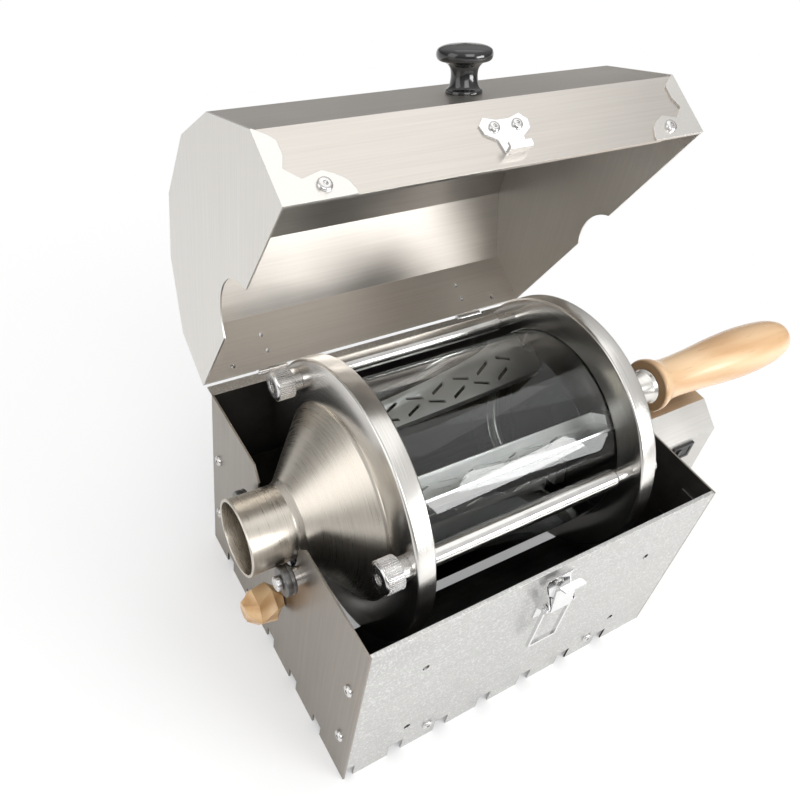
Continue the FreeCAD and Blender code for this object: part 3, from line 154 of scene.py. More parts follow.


# Rolled sheet: fine straight grain along one axis, cloudy roughness, and a near-black blotched colour on the
# faces turned inwards.
def sheetSteel(name, along, light, dark, darkInside, speckle=0.0):
    s = Shader(name)
    stretch = [sheetFinish["grain"]] * 3
    stretch[along] = 12
    grain = s.noise(s.coords(tuple(stretch)), 1.0, 3, 0.6)
    cloud = s.noise(s.coords(), 9, 3, 0.55)
    blended = s.math("ADD", s.math("MULTIPLY", grain, 0.55), s.math("MULTIPLY", cloud, 0.45))
    tone = s.mapRange(blended, 0.3, 0.7, 0, 1)
    colour = s.mix(tone, dark, light)
    height = grain
    if speckle:
        spots = s.noise(s.coords(), 880, 2, 0.6)
        colour = s.mix(s.mapRange(spots, 0.50, 0.68, 0, speckle), colour, (0.84, 0.84, 0.83))
        height = s.math("ADD", grain, spots)
    roughness = s.mapRange(cloud, 0.3, 0.7, *sheetFinish["rough"])
    metallic = 1.0
    # Faces turned towards the box's middle are coloured near-black with blotches, and made rougher and less
    # metallic.
    if darkInside:
        geometry = s.add("ShaderNodeNewGeometry")
        flat = s.add("ShaderNodeVectorMath", operation="MULTIPLY")
        s.link(s.coords(), flat.inputs[0])
        flat.inputs[1].default_value = (-1, -1, 0)
        towards = s.add("ShaderNodeVectorMath", operation="DOT_PRODUCT")
        s.link(geometry.outputs["True Normal"], towards.inputs[0])
        s.link(flat.outputs[0], towards.inputs[1])
        inside = s.mapRange(towards.outputs["Value"], 0.03, 0.05, 0, 1)
        blotches = s.noise(s.coords(), 22, 5, 0.6)
        darkening = s.ramp(blotches, [(0.3, (0.018, 0.017, 0.016)), (0.7, (0.06, 0.055, 0.05))])
        colour = s.mix(inside, colour, darkening)
        roughness = s.math("ADD", roughness, s.math("MULTIPLY", inside, 0.22))
        metallic = s.math("SUBTRACT", 1.0, s.math("MULTIPLY", inside, 0.55))
    s.put(Base_Color=colour, Roughness=roughness, Metallic=metallic)
    s.bump(height, 0.10, 0.0002, 0.0004)
    return s.mat


# Turned steel: fine rings round the drum's axis, with the highlight drawn out along them. darkWithin, in m, is
# the radius inside which the faces between the two drum rings are coloured near-black.
def turnedSteel(name, light, dark, low, high, ringScale=2600, darkWithin=0.0):
    s = Shader(name)
    place = s.coords((1, 1, 1), (0, 0, -axisUp * mm))
    parts = s.add("ShaderNodeSeparateXYZ")
    s.link(place, parts.inputs[0])
    away = s.math("SQRT", s.math("ADD", s.math("MULTIPLY", parts.outputs["Y"], parts.outputs["Y"]),
                                 s.math("MULTIPLY", parts.outputs["Z"], parts.outputs["Z"])))
    across = s.add("ShaderNodeCombineXYZ")
    s.link(s.math("MULTIPLY", parts.outputs["X"], ringScale), across.inputs[0])
    s.link(s.math("MULTIPLY", away, ringScale), across.inputs[1])
    angle = s.math("ARCTAN2", parts.outputs["Y"], parts.outputs["Z"])
    s.link(s.math("MULTIPLY", angle, 1.6), across.inputs[2])
    rings = s.noise(across.outputs[0], 1.0, 3, 0.65)
    cloud = s.noise(s.coords(), 14, 3, 0.5)
    colour = s.mix(s.mapRange(rings, 0.3, 0.7, 0, 1), dark, light)
    roughness = s.mapRange(s.math("ADD", s.math("MULTIPLY", rings, 0.6), s.math("MULTIPLY", cloud, 0.4)),
                           0.3, 0.7, low, high)
    # Faces inside the drum, within darkWithin of the axis and between the two rings, are coloured near-black
    # and made rougher.
    if darkWithin:
        near = s.math("LESS_THAN", away, darkWithin)
        between = s.math("LESS_THAN", s.math("ABSOLUTE", parts.outputs["X"]), drum["darkenedHalf"] * mm)
        darkening = s.math("MULTIPLY", near, between)
        colour = s.mix(darkening, colour, (0.022, 0.021, 0.020))
        roughness = s.math("ADD", roughness, s.math("MULTIPLY", darkening, 0.25))
    s.put(Base_Color=colour, Metallic=1.0, Roughness=roughness, Anisotropic=0.55)
    around = s.add("ShaderNodeVectorMath", operation="CROSS_PRODUCT")
    around.inputs[0].default_value = (1, 0, 0)
    s.link(place, around.inputs[1])
    turned = s.add("ShaderNodeVectorTransform", vector_type="VECTOR", convert_from="OBJECT",
                   convert_to="WORLD")
    s.link(around.outputs[0], turned.inputs[0])
    s.link(turned.outputs[0], s.bsdf.inputs["Tangent"])
    s.bump(rings, 0.018, 0.00006)
    return s.mat


def plainMetal(name, light, dark, low, high, scale=60, edge=0.0003):
    s = Shader(name)
    cloud = s.noise(s.coords(), scale, 4, 0.6)
    scuffs = s.noise(s.coords((1, 1, 1)), scale * 14, 2, 0.6)
    s.put(Base_Color=s.mix(s.mapRange(cloud, 0.3, 0.7, 0, 1), dark, light), Metallic=1.0,
          Roughness=s.mapRange(s.math("ADD", s.math("MULTIPLY", cloud, 0.5), s.math("MULTIPLY", scuffs, 0.5)),
                               0.35, 0.65, low, high))
    s.bump(scuffs, 0.03, 0.00005, edge)
    return s.mat


def turnedWood(name, light, dark, shadedEndAt=None, along=0, coat=0.55):
    s = Shader(name)
    stretch = [70, 70, 70]
    stretch[along] = 7
    fibre = s.noise(s.coords(tuple(stretch)), 1.0, 5, 0.6, 0.5)
    pores = s.noise(s.coords(tuple(v * (9 if v == 70 else 6) for v in stretch)), 1.0, 3, 0.65)
    figure = s.add("ShaderNodeTexWave", wave_type="RINGS", rings_direction="Y")
    figure.inputs["Scale"].default_value = 26
    figure.inputs["Distortion"].default_value = 5.5
    figure.inputs["Detail"].default_value = 3
    stretched = [1, 1, 1]
    stretched[along] = 0.12
    s.link(s.coords(tuple(stretched), (0.01, 0.03, -0.1)), figure.inputs["Vector"])
    tone = s.math("ADD", s.math("MULTIPLY", fibre, 0.6), s.math("MULTIPLY", figure.outputs["Fac"], 0.4))
    colour = s.mix(s.mapRange(tone, 0.3, 0.75, 0, 1), dark, light)
    colour = s.mix(s.mapRange(pores, 0.62, 0.74, 0, 0.45), colour, tuple(v * 0.5 for v in dark))
    # Painted shade: the wood is darkened on the handle's flat end face and on the first 3.5 mm of the flare
    # beside it.
    if shadedEndAt is not None:
        parts = s.add("ShaderNodeSeparateXYZ")
        s.link(s.coords(), parts.inputs[0])
        endShade = s.mapRange(parts.outputs["X"], shadedEndAt, shadedEndAt + 0.0035, 1, 0)
        colour = s.mix(endShade, colour, tuple(v * 0.55 for v in dark))
    s.put(Base_Color=colour, Roughness=s.mapRange(fibre, 0.3, 0.7, 0.30, 0.46), Coat_Weight=coat,
          Coat_Roughness=0.16)
    s.bump(s.math("ADD", s.math("MULTIPLY", pores, 0.6), s.math("MULTIPLY", fibre, 0.4)), 0.14, 0.0003)
    return s.mat


def moulded(name, colour, low, high, coat=0.0, grain=1400):
    s = Shader(name)
    skin = s.noise(s.coords(), grain, 3, 0.6)
    cloud = s.noise(s.coords(), 40, 3, 0.5)
    s.put(Base_Color=s.mix(s.mapRange(cloud, 0.3, 0.7, 0, 1), tuple(v * 0.8 for v in colour), colour),
          Roughness=s.mapRange(cloud, 0.3, 0.7, low, high), Coat_Weight=coat, Coat_Roughness=0.08)
    s.bump(skin, 0.08, 0.0001, 0.0004)
    return s.mat


lidSteel = sheetSteel("lidSheet", 0, (0.64, 0.605, 0.56), (0.54, 0.505, 0.465), False)
frontSteel = sheetSteel("frontSheet", 0, (0.58, 0.575, 0.56), (0.46, 0.455, 0.445), True, 0.6)
sideSteel = sheetSteel("sideSheet", 2, (0.36, 0.325, 0.285), (0.26, 0.235, 0.205), True)
endSteel = sheetSteel("lidEndSheet", 2, (0.78, 0.76, 0.73), (0.68, 0.66, 0.62), False)
motorSteel = sheetSteel("motorSheet", 0, (0.66, 0.645, 0.62), (0.54, 0.525, 0.50), False)
# Plain near-black metal for the heat baffles and bottom rails inside the box.
darkSheetSteel = plainMetal("darkSheet", (0.09, 0.085, 0.08), (0.035, 0.033, 0.03), 0.45, 0.65, 30)
ringSteel = turnedSteel("turnedRing", (0.72, 0.70, 0.67), (0.62, 0.60, 0.57), 0.18, 0.28, 2600, 0.0625)
coneSteel = turnedSteel("turnedCone", (0.62, 0.575, 0.51), (0.52, 0.48, 0.42), 0.24, 0.34, 1500)
rodSteel = plainMetal("drawnRod", (0.74, 0.73, 0.71), (0.62, 0.61, 0.59), 0.14, 0.26)
screwSteel = plainMetal("screwSteel", (0.72, 0.71, 0.70), (0.58, 0.57, 0.56), 0.16, 0.30, 90)
latchSteel = plainMetal("polishedLatch", (0.80, 0.80, 0.80), (0.70, 0.70, 0.70), 0.08, 0.18, 70)
gearSteel = plainMetal("gearSteel", (0.55, 0.54, 0.52), (0.42, 0.41, 0.40), 0.26, 0.40, 80)
vaneSteel = plainMetal("vaneSteel", (0.95, 0.95, 0.94), (0.88, 0.88, 0.87), 0.34, 0.46, 12)
rollerSteel = plainMetal("rollerSteel", (0.20, 0.195, 0.19), (0.11, 0.107, 0.104), 0.28, 0.42, 80)
pinionBrass = plainMetal("pinionBrass", (0.74, 0.56, 0.27), (0.60, 0.43, 0.19), 0.20, 0.34, 90)
motorPaint = moulded("motorPaint", (0.09, 0.09, 0.095), 0.40, 0.52)
darkPlastic = moulded("darkPlastic", (0.018, 0.018, 0.019), 0.38, 0.50)
knobBlack = moulded("knobBlack", (0.010, 0.010, 0.010), 0.14, 0.22, 0.6, 300)
sealBlack = moulded("sealBlack", (0.02, 0.02, 0.02), 0.60, 0.75)
# The handle's wood carries painted shade on its flat end face at x = 0.171 m.
handleWood = turnedWood("handleWood", (0.77, 0.54, 0.32), (0.60, 0.36, 0.175), 0.171, 0)
knobWood = turnedWood("knobWood", (0.74, 0.50, 0.27), (0.54, 0.31, 0.135), None, 0, 0.25)


def drumGlass():
    s = Shader("clearGlass")
    smear = s.noise(s.coords((5, 1, 1)), 20, 4, 0.6)
    s.put(Base_Color=(0.86, 0.88, 0.875), Transmission_Weight=1.0, IOR=1.5,
          Roughness=s.mapRange(smear, 0.4, 0.7, 0.0, 0.025))
    s.bump(s.noise(s.coords((0.6, 1, 1)), 22, 1), 0.03, 0.0006)
    return s.mat


glassClear = drumGlass()


def dress(material, *names):
    for name in names:
        mesh = nodes[name].data
        mesh.materials.clear()
        mesh.materials.append(material)


dress(frontSteel, "front_panel", "rear_panel")
dress(sideSteel, "left_side_panel", "right_side_panel")
dress(lidSteel, "lid_cover")
dress(endSteel, "lid_left_end", "lid_right_end")
dress(motorSteel, "motor_housing")
dress(darkSheetSteel, "front_heat_baffle", "rear_heat_baffle", "front_bottom_rail", "rear_bottom_rail")
dress(latchSteel, "catch_plate", "latch_base", "latch_lever", "latch_pin", "hinge_fixed_leaves",
      "hinge_lid_leaves", "hinge_pins")
dress(screwSteel, "roller_nuts", "roller_spacers", "side_knob_screw", "lid_knob_screw")
dress(gearSteel, "drum_gear")
dress(vaneSteel, "stirring_vanes")
dress(pinionBrass, "motor_pinion")
dress(motorPaint, "gear_motor")
dress(darkPlastic, "power_inlet", "switch_frame", "switch_rocker")
dress(sealBlack, "front_gasket", "rear_gasket")
dress(knobWood, "wooden_side_knob")


# Turned pieces.
def soften(loop, radius, steps=3):
    out = []
    for i, point in enumerate(loop):
        here = Vector(point)
        before = Vector(loop[i - 1])
        after = Vector(loop[(i + 1) % len(loop)])
        a, b = before - here, after - here
        if here.y < 0.001 or a.length < 1e-6 or b.length < 1e-6:
            out.append(tuple(here))
            continue
        reach = min(radius, a.length * 0.4, b.length * 0.4)
        start, end = here + a.normalized() * reach, here + b.normalized() * reach
        for k in range(steps + 1):
            t = k / steps
            out.append(tuple(start * (1 - t) ** 2 + here * 2 * t * (1 - t) + end * t ** 2))
    return out


def finish(obj, material, slotName, body, *replaced, angle=32):
    obj.data.materials.clear()
    obj.data.materials.append(material)
    obj.data.shade_smooth()
    obj.data.set_sharp_from_angle(angle=math.radians(angle))
    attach(obj, body)
    if replaced:
        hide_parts(*replaced)
    return obj


# A closed loop of (along, radius) turned about a line parallel to X, in mm, at each of the centres.
def latheMesh(name, loop, centres, segments=96, matrix=None):
    verts, faces = [], []
    for cx, cy, cz in centres:
        rows = []
        for along, radius in loop:
            if radius < 0.001:
                rows.append([len(verts)])
                verts.append((cx + along, cy, cz))
                continue
            rows.append(list(range(len(verts), len(verts) + segments)))
            for k in range(segments):
                turn = 2 * math.pi * k / segments
                verts.append((cx + along, cy + radius * math.cos(turn), cz + radius * math.sin(turn)))
        for i, row in enumerate(rows):
            other = rows[(i + 1) % len(rows)]
            if len(row) == 1 and len(other) == 1:
                continue
            for k in range(segments):
                n = (k + 1) % segments
                if len(row) == 1:
                    faces.append((row[0], other[n], other[k]))
                elif len(other) == 1:
                    faces.append((row[k], row[n], other[0]))
                else:
                    faces.append((row[k], row[n], other[n], other[k]))
    place = (matrix or Matrix.Identity(4))
    mesh = bpy.data.meshes.new(name)
    mesh.from_pydata([tuple((place @ Vector(v)) * mm) for v in verts], [], faces)
    mesh.update()
    fixNormals(mesh)
    obj = bpy.data.objects.new(name, mesh)
    bpy.context.scene.collection.objects.link(obj)
    return obj


def fixNormals(mesh):
    bm = bmesh.new()
    bm.from_mesh(mesh)
    bmesh.ops.remove_doubles(bm, verts=bm.verts, dist=1e-7)
    bmesh.ops.recalc_face_normals(bm, faces=bm.faces)
    bm.to_mesh(mesh)
    bm.free()


print("drum")
face, width, shaft = drum["ringFace"], drum["ringWidth"], drum["shaftRadius"]
outer, bevel = drum["ringRadius"], drum["bevel"]
coneRadius, spout, sheet = drum["coneRadius"], drum["spoutRadius"], drum["sheet"]
seat = drum["glassRadius"] + drum["glassGap"]
bore = drum["rodTip"] + 0.1
onAxis = [(0, 0, axisUp)]
rodTurns = [math.radians(a) for a in drum["rodAngles"]]
rodAt = [(0, -drum["rodCircle"] * math.cos(a), axisUp + drum["rodCircle"] * math.sin(a)) for a in rodTurns]


# Each loop is a closed section of (along the axis, radius) points, in mm.
def turnedPiece(name, loop, rounding, centres, segments, material, slotName, body, *replaced, angle=32):
    obj = latheMesh(name, soften(loop, rounding) if rounding else loop, centres, segments)
    return finish(obj, material, slotName, body, *replaced, angle=angle)


funnel = {"reach": 150, "bead": 1.4, "beadUp": 0.6, "coneEnd": 119, "rim": 4}
reach, coneEnd = funnel["reach"], funnel["coneEnd"]
funnelLoop = [(-reach, spout - sheet), (-reach, spout + funnel["beadUp"]),
              (-reach + funnel["bead"], spout + funnel["beadUp"]), (-reach + funnel["bead"], spout),
              (-coneEnd - 3, spout), (-coneEnd + 1, spout + 2), (-face - 1.5, coneRadius - 0.5),
              (-face + 0.2, coneRadius + 0.5), (-face + funnel["rim"], coneRadius + 0.5),
              (-face + funnel["rim"], coneRadius - sheet), (-coneEnd + 0.8, spout + 0.4),
              (-coneEnd - 2, spout - sheet)]
turnedPiece("funnelSpout", funnelLoop, 0.5, onAxis, 160, coneSteel, "turned_stainless", "drum", "funnel_spout")

frontFloor, frontHole, frontLip = -face + 6.2, coneRadius + 0.6, coneRadius - 1
frontLoop = [(-face, frontHole), (-face, outer - bevel), (-face + bevel, outer),
             (-face + width - bevel, outer), (-face + width, outer - bevel), (-face + width, seat),
             (frontFloor, seat), (frontFloor, frontLip), (-face + 4.2, frontLip), (-face + 4.2, frontHole)]
turnedPiece("frontRing", frontLoop, 0.7, onAxis, 192, ringSteel, "turned_stainless", "drum", "front_ring")

rearOut, rearIn, rearFloor, rearWindow = face + 1, face + 1 - width, face - 5.2, 55
rearLoop = [(rearOut, shaft), (rearOut, outer - bevel), (face, outer), (rearIn + bevel, outer),
            (rearIn, outer - bevel), (rearIn, seat), (rearFloor, seat), (rearFloor, rearWindow),
            (face - 2, rearWindow), (face - 2, shaft)]
turnedPiece("rearRing", rearLoop, 0.7, onAxis, 192, ringSteel, "turned_stainless", "drum", "rear_ring")

rod = {"radius": drum["rodRadius"], "tip": drum["rodTip"], "point": 0.6, "front": 15, "neck": 4.6, "rear": 6}
rodEnd = -face - rod["front"]
rodLoop = [(rodEnd, 0), (rodEnd, rod["tip"] - rod["point"]), (rodEnd + rod["point"], rod["tip"]),
           (-face + width, rod["tip"]), (-face + width, rod["radius"]), (rearIn - 14, rod["radius"]),
           (rearIn - 12, rod["neck"]), (rearIn, rod["neck"]), (rearIn, rod["tip"]),
           (face + rod["rear"], rod["tip"]), (face + rod["rear"], 0)]
turnedPiece("tieRods", rodLoop, 0.4, rodAt, 48, rodSteel, "turned_stainless", "drum", "tie_rods")

capNut = {"radius": 7.5, "shoulder": 5.5, "straight": 4.5, "slope": 6.5, "top": 7.4, "inside": 6.2}
capLoop = [(rearOut, bore), (rearOut, capNut["radius"]), (rearOut + capNut["straight"], capNut["radius"]),
           (rearOut + capNut["slope"], capNut["shoulder"]), (rearOut + capNut["top"], 0),
           (rearOut + capNut["inside"], 0), (rearOut + capNut["inside"], bore)]
turnedPiece("rearCapNuts", capLoop, 0.6, rodAt, 48, screwSteel, "polished_steel", "drum", "rear_cap_nuts")

shaftParts = {"end": 171, "disc": 14, "flange": 15, "collar": 11, "stub": 4, "inset": 7}
shaftEnd, stub, disc, collar = [shaftParts[k] for k in ("end", "stub", "disc", "collar")]
collarEnd = box["half"] - shaftParts["inset"]
shaftLoop = [(face - 3.2, 0), (face - 3.2, disc), (face - 2, disc), (face - 2, shaft), (rearOut, shaft),
             (rearOut, shaftParts["flange"]), (face + 5, shaftParts["flange"]), (face + 5, collar),
             (collarEnd, collar), (collarEnd, shaft), (shaftEnd - 12, shaft), (shaftEnd - 12, stub),
             (shaftEnd + 40, stub), (shaftEnd + 40, 0)]
turnedPiece("driveShaft", shaftLoop, 0.4, onAxis, 64, ringSteel, "turned_stainless", "drum", "drive_shaft")

ferrule = {"neck": 9, "belly": 12, "rim": 13.5}
ferruleLoop = [(shaftEnd - 12, bore), (shaftEnd - 12, ferrule["neck"]), (shaftEnd - 3, ferrule["belly"]),
               (shaftEnd - 1, ferrule["rim"]), (shaftEnd - 0.2, ferrule["rim"]), (shaftEnd - 0.2, bore)]
turnedPiece("handleFerrule", ferruleLoop, 0.5, onAxis, 64, ringSteel, "turned_stainless", "drum",
            "handle_ferrule")
dress(ringSteel, "gear_collar")

bearing = {"start": 119.4, "width": 10, "bore": 8.05, "radius": 19, "groove": 15.9, "grooveAt": (4.1, 5.9)}
start, end = bearing["start"], bearing["start"] + bearing["width"]
near, far = [bearing["start"] + v for v in bearing["grooveAt"]]
bearingLoop = [(start, bearing["bore"]), (end, bearing["bore"]), (end, bearing["radius"] - 1),
               (end - 1, bearing["radius"]), (far, bearing["radius"]), (far, bearing["groove"]),
               (near, bearing["groove"]), (near, bearing["radius"]), (start + 1, bearing["radius"]),
               (start, bearing["radius"] - 1)]
turnedPiece("rearBearing", bearingLoop, 0.4, onAxis, 72, gearSteel, "bearing_steel", "drum_carrier",
            "rear_bearing")


print("handle")
handle = {"boreDepth": 41,
          "stations": [(0, 19.2), (1.5, 20), (6, 19.4), (13, 16.6), (24, 15.4), (46, 16.2), (78, 18.6),
                       (104, 19.5), (130, 18.2), (146, 15.2), (154, 10.5), (157.4, 0)]}


# A smooth run of points through the stations, by Catmull and Rom's curve.
def flowing(points, steps=8):
    out = []
    for i in range(len(points) - 1):
        a, b, c, d = [Vector(points[max(0, min(len(points) - 1, i + k))]) for k in (-1, 0, 1, 2)]
        for k in range(steps):
            t = k / steps
            out.append(tuple(0.5 * (2 * b + (c - a) * t + (2 * a - 5 * b + 4 * c - d) * t * t
                                    + (3 * b - a - 3 * c + d) * t ** 3)))
    return out + [tuple(points[-1])]


boreEnd = shaftEnd + handle["boreDepth"]
handleLoop = [(shaftEnd, bore)] + [(shaftEnd + a, max(r, 0)) for a, r in flowing(handle["stations"])]
handleLoop += [(boreEnd, 0), (boreEnd, bore)]
turnedPiece("woodenHandle", handleLoop, 0, onAxis, 96, handleWood, "handle_wood", "drum", "wooden_handle",
            angle=50)


print("rollers")
roller = {"start": -129.6, "width": 6.5, "radius": 9, "aside": 29.5, "drop": 11.9, "bore": 3.05, "edge": 0.6,
          "groove": (3.6, 4.6), "grooveDepth": 0.5}
rollerUp = axisUp - roller["drop"]
s, r = roller["start"] - roller["width"], roller["radius"]
near, far = [s + v for v in roller["groove"]]
sEnd, rim, groove = s + roller["width"], r - roller["edge"], r - roller["grooveDepth"]
rollerLoop = [(s, roller["bore"]), (sEnd, roller["bore"]), (sEnd, rim), (sEnd - roller["edge"], r), (far, r),
              (far, groove), (near, groove), (near, r), (s + roller["edge"], r), (s, rim)]
for name, side, body in (("front_support_roller", -1, "front_roller"),
                         ("back_support_roller", 1, "back_roller")):
    turnedPiece(name + "Turned", rollerLoop, 0.3, [(0, side * roller["aside"], rollerUp)], 64, rollerSteel,
                "bearing_steel", body, name)
bolt = {"inner": -120.5, "outer": -139.9, "shoulder": -129.3, "under": -136.5, "head": 4.4, "top": 3.2,
        "body": 3.0, "thread": 2.45}
boltLoop = [(bolt["inner"], 0), (bolt["outer"], 0), (bolt["outer"], bolt["top"]),
            (bolt["outer"] + 0.6, bolt["head"]), (bolt["under"], bolt["head"]), (bolt["under"], bolt["body"]),
            (bolt["shoulder"], bolt["body"]), (bolt["shoulder"], bolt["thread"]),
            (bolt["inner"], bolt["thread"])]
turnedPiece("rollerBolts", boltLoop, 0.25, [(0, side * roller["aside"], rollerUp) for side in (-1, 1)], 40,
            screwSteel, "polished_steel", "housing", "roller_bolts")


print("lid knob")
knob = {"upSlope": 0.45, "bore": 2.1, "boreDepth": 13, "foot": (0.1, 1.4), "footRadius": 9.5,
        "stations": [(1.6, 9.4), (3.2, 7.7), (8, 6.8), (12, 7.4), (14.4, 9.8), (15.4, 12.9), (17, 14.1),
                     (19.4, 14.1), (21.2, 12.8), (22.6, 8.5), (23.3, 0)]}
slopeFoot = Vector((0, box["front"], box["rim"] + lid["side"]))
slopeRun = Vector((0, lid["slopeIn"], lid["slopeUp"]))
knobPlace = (lidSwing @ Matrix.Translation(slopeFoot + slopeRun * knob["upSlope"])
             @ Matrix.Rotation(math.atan2(lid["slopeUp"], lid["slopeIn"]), 4, "X")
             @ Matrix.Rotation(math.radians(-90), 4, "Y"))
low, high = knob["foot"]
knobLoop = [(low, knob["bore"]), (low, knob["footRadius"]), (high, knob["footRadius"])]
knobLoop += [(a, max(r, 0)) for a, r in flowing(knob["stations"], 6)]
knobLoop += [(knob["boreDepth"], 0), (knob["boreDepth"], knob["bore"])]
finish(latheMesh("lidKnob", knobLoop, [(0, 0, 0)], 72, knobPlace), knobBlack, "black_knob", "lid", "lid_knob")


# Geometry Nodes trees, made plain by applied().
def newTree(name, inputs):
    tree = bpy.data.node_groups.new(name, "GeometryNodeTree")
    tree.interface.new_socket("Geometry", in_out="INPUT", socket_type="NodeSocketGeometry")
    sockets = {}
    for label, kind, value in inputs:
        socket = tree.interface.new_socket(label, in_out="INPUT", socket_type=kind)
        if value is not None:
            socket.default_value = value
        sockets[label] = socket.identifier
    tree.interface.new_socket("Geometry", in_out="OUTPUT", socket_type="NodeSocketGeometry")
    return tree, sockets, tree.nodes.new("NodeGroupInput"), tree.nodes.new("NodeGroupOutput")


def applied(obj, tree, sockets, values, name):
    modifier = obj.modifiers.new("shape", "NODES")
    modifier.node_group = tree
    for label, value in values.items():
        modifier[sockets[label]] = value
    bpy.context.view_layer.update()
    evaluated = obj.evaluated_get(bpy.context.evaluated_depsgraph_get())
    mesh = bpy.data.meshes.new_from_object(evaluated)
    mesh.name = name
    result = bpy.data.objects.new(name, mesh)
    bpy.context.scene.collection.objects.link(result)
    bpy.data.objects.remove(obj, do_unlink=True)
    return result


def pointsObject(name, seats):
    mesh = bpy.data.meshes.new(name)
    mesh.from_pydata([tuple(p * mm) for p, d, r in seats], [], [])
    mesh.attributes.new("facing", "FLOAT_VECTOR", "POINT")
    mesh.attributes.new("headRadius", "FLOAT", "POINT")
    for i, (p, d, r) in enumerate(seats):
        mesh.attributes["facing"].data[i].vector = d
        mesh.attributes["headRadius"].data[i].value = r * mm
    obj = bpy.data.objects.new(name, mesh)
    bpy.context.scene.collection.objects.link(obj)
    return obj


# Button heads with a round socket, one on each seat, square to the sheet. Lengths are shares of the radius.
def screwTree():
    tree, sockets, start, end = newTree("screwHeads", [("Rim", "NodeSocketFloat", 0.25),
                                                       ("Socket", "NodeSocketFloat", 0.62),
                                                       ("Depth", "NodeSocketFloat", -0.3),
                                                       ("Metal", "NodeSocketMaterial", None)])
    n, link = tree.nodes, tree.links.new
    rim = n.new("GeometryNodeMeshCircle")
    rim.inputs["Vertices"].default_value = 24
    rim.inputs["Radius"].default_value = 1
    rim.fill_type = "NGON"

    def extrude(source, selection, offset):
        node = n.new("GeometryNodeExtrudeMesh")
        node.inputs["Individual"].default_value = False
        if isinstance(offset, float):
            node.inputs["Offset Scale"].default_value = offset
        else:
            link(offset, node.inputs["Offset Scale"])
        link(source, node.inputs["Mesh"])
        if selection is not None:
            link(selection, node.inputs["Selection"])
        return node

    def shrink(source, selection, factor):
        node = n.new("GeometryNodeScaleElements")
        link(source, node.inputs["Geometry"])
        link(selection, node.inputs["Selection"])
        if isinstance(factor, float):
            node.inputs["Scale"].default_value = factor
        else:
            link(factor, node.inputs["Scale"])
        return node.outputs[0]

    wall = extrude(rim.outputs[0], None, start.outputs["Rim"])
    mesh = wall.outputs["Mesh"]
    top = wall.outputs["Top"]
    for lift, factor in ((0.18, 0.90), (0.09, 0.82), (0.03, 0.72)):
        step = extrude(mesh, top, lift)
        mesh = shrink(step.outputs["Mesh"], step.outputs["Top"], factor)
        top = step.outputs["Top"]
    well = extrude(mesh, top, 0.0)
    mesh = shrink(well.outputs["Mesh"], well.outputs["Top"], start.outputs["Socket"])
    floor = extrude(mesh, well.outputs["Top"], start.outputs["Depth"])
    align = n.new("FunctionNodeAlignRotationToVector")
    align.axis = "Z"
    facing = n.new("GeometryNodeInputNamedAttribute")
    facing.data_type = "FLOAT_VECTOR"
    facing.inputs["Name"].default_value = "facing"
    link(facing.outputs["Attribute"], align.inputs["Vector"])
    size = n.new("GeometryNodeInputNamedAttribute")
    size.data_type = "FLOAT"
    size.inputs["Name"].default_value = "headRadius"
    spread = n.new("GeometryNodeInstanceOnPoints")
    link(start.outputs["Geometry"], spread.inputs["Points"])
    link(floor.outputs["Mesh"], spread.inputs["Instance"])
    link(align.outputs[0], spread.inputs["Rotation"])
    link(size.outputs["Attribute"], spread.inputs["Scale"])
    real = n.new("GeometryNodeRealizeInstances")
    link(spread.outputs[0], real.inputs[0])
    paint = n.new("GeometryNodeSetMaterial")
    link(real.outputs[0], paint.inputs["Geometry"])
    link(start.outputs["Metal"], paint.inputs["Material"])
    link(paint.outputs[0], end.inputs[0])
    return tree, sockets


print("screws")
screws = {"panelHead": 3.6, "smallHead": 2.9, "motorHead": 3.0}
places = {"panelAcross": (-93, 86), "panelUp": (40, 95), "railAside": 67, "railUp": 17.5, "lugAside": 29,
          "lugUp": (45, 84), "motorAside": 13, "motorUp": 73.8, "hingeAside": 79, "fixedUp": (121, 133),
          "leafUp": (157.5, 169), "latchUp": (104, 132), "lidEnd": 104.5, "lidEndUp": 152.9, "catchAside": 7,
          "catchUp": 168, "lidOut": 105, "leafOut": 104.9}
east, north = Vector((1, 0, 0)), Vector((0, 1, 0))
inWall = box["half"] - box["sheet"]
hingeXs = (-places["hingeAside"], places["hingeAside"])


def seatsAt(xs, ys, zs, facing, head):
    return [(Vector((x, y, z)), facing, screws[head]) for x in xs for y in ys for z in zs]


onBox = []
for side in (-1, 1):
    onBox += seatsAt([side * box["half"]], places["panelAcross"], places["panelUp"], east * side, "panelHead")
railXs = (-places["railAside"], places["railAside"])
onBox += seatsAt(railXs, [box["front"]], [places["railUp"]], -north, "panelHead")
onBox += seatsAt(railXs, [box["rear"]], [places["railUp"]], north, "panelHead")
onBox += seatsAt([inWall], (-places["lugAside"], places["lugAside"]), places["lugUp"], -east, "motorHead")
onBox += seatsAt([inWall], (-places["motorAside"], places["motorAside"]), [places["motorUp"]], -east,
                 "motorHead")
onBox += seatsAt(hingeXs, [box["rear"] + 1], places["fixedUp"], north, "smallHead")
onBox += seatsAt([0], [box["front"] - 1], places["latchUp"], -north, "smallHead")
onLid = []
for x in (-places["lidEnd"], places["lidEnd"]):
    for side in (-1, 1):
        onLid += seatsAt([x], [side * places["lidOut"]], [places["lidEndUp"]], north * side, "panelHead")
onLid += seatsAt((-places["catchAside"], places["catchAside"]), [-places["lidOut"]], [places["catchUp"]],
                 -north, "smallHead")
onLid += seatsAt(hingeXs, [places["leafOut"]], places["leafUp"], north, "smallHead")
onLid = [(lidSwing @ p, lidSwing.to_3x3() @ d, r) for p, d, r in onLid]
tree, sockets = screwTree()
boxHeads = applied(pointsObject("boxSeats", onBox), tree, sockets, {"Metal": screwSteel}, "boxScrewHeads")
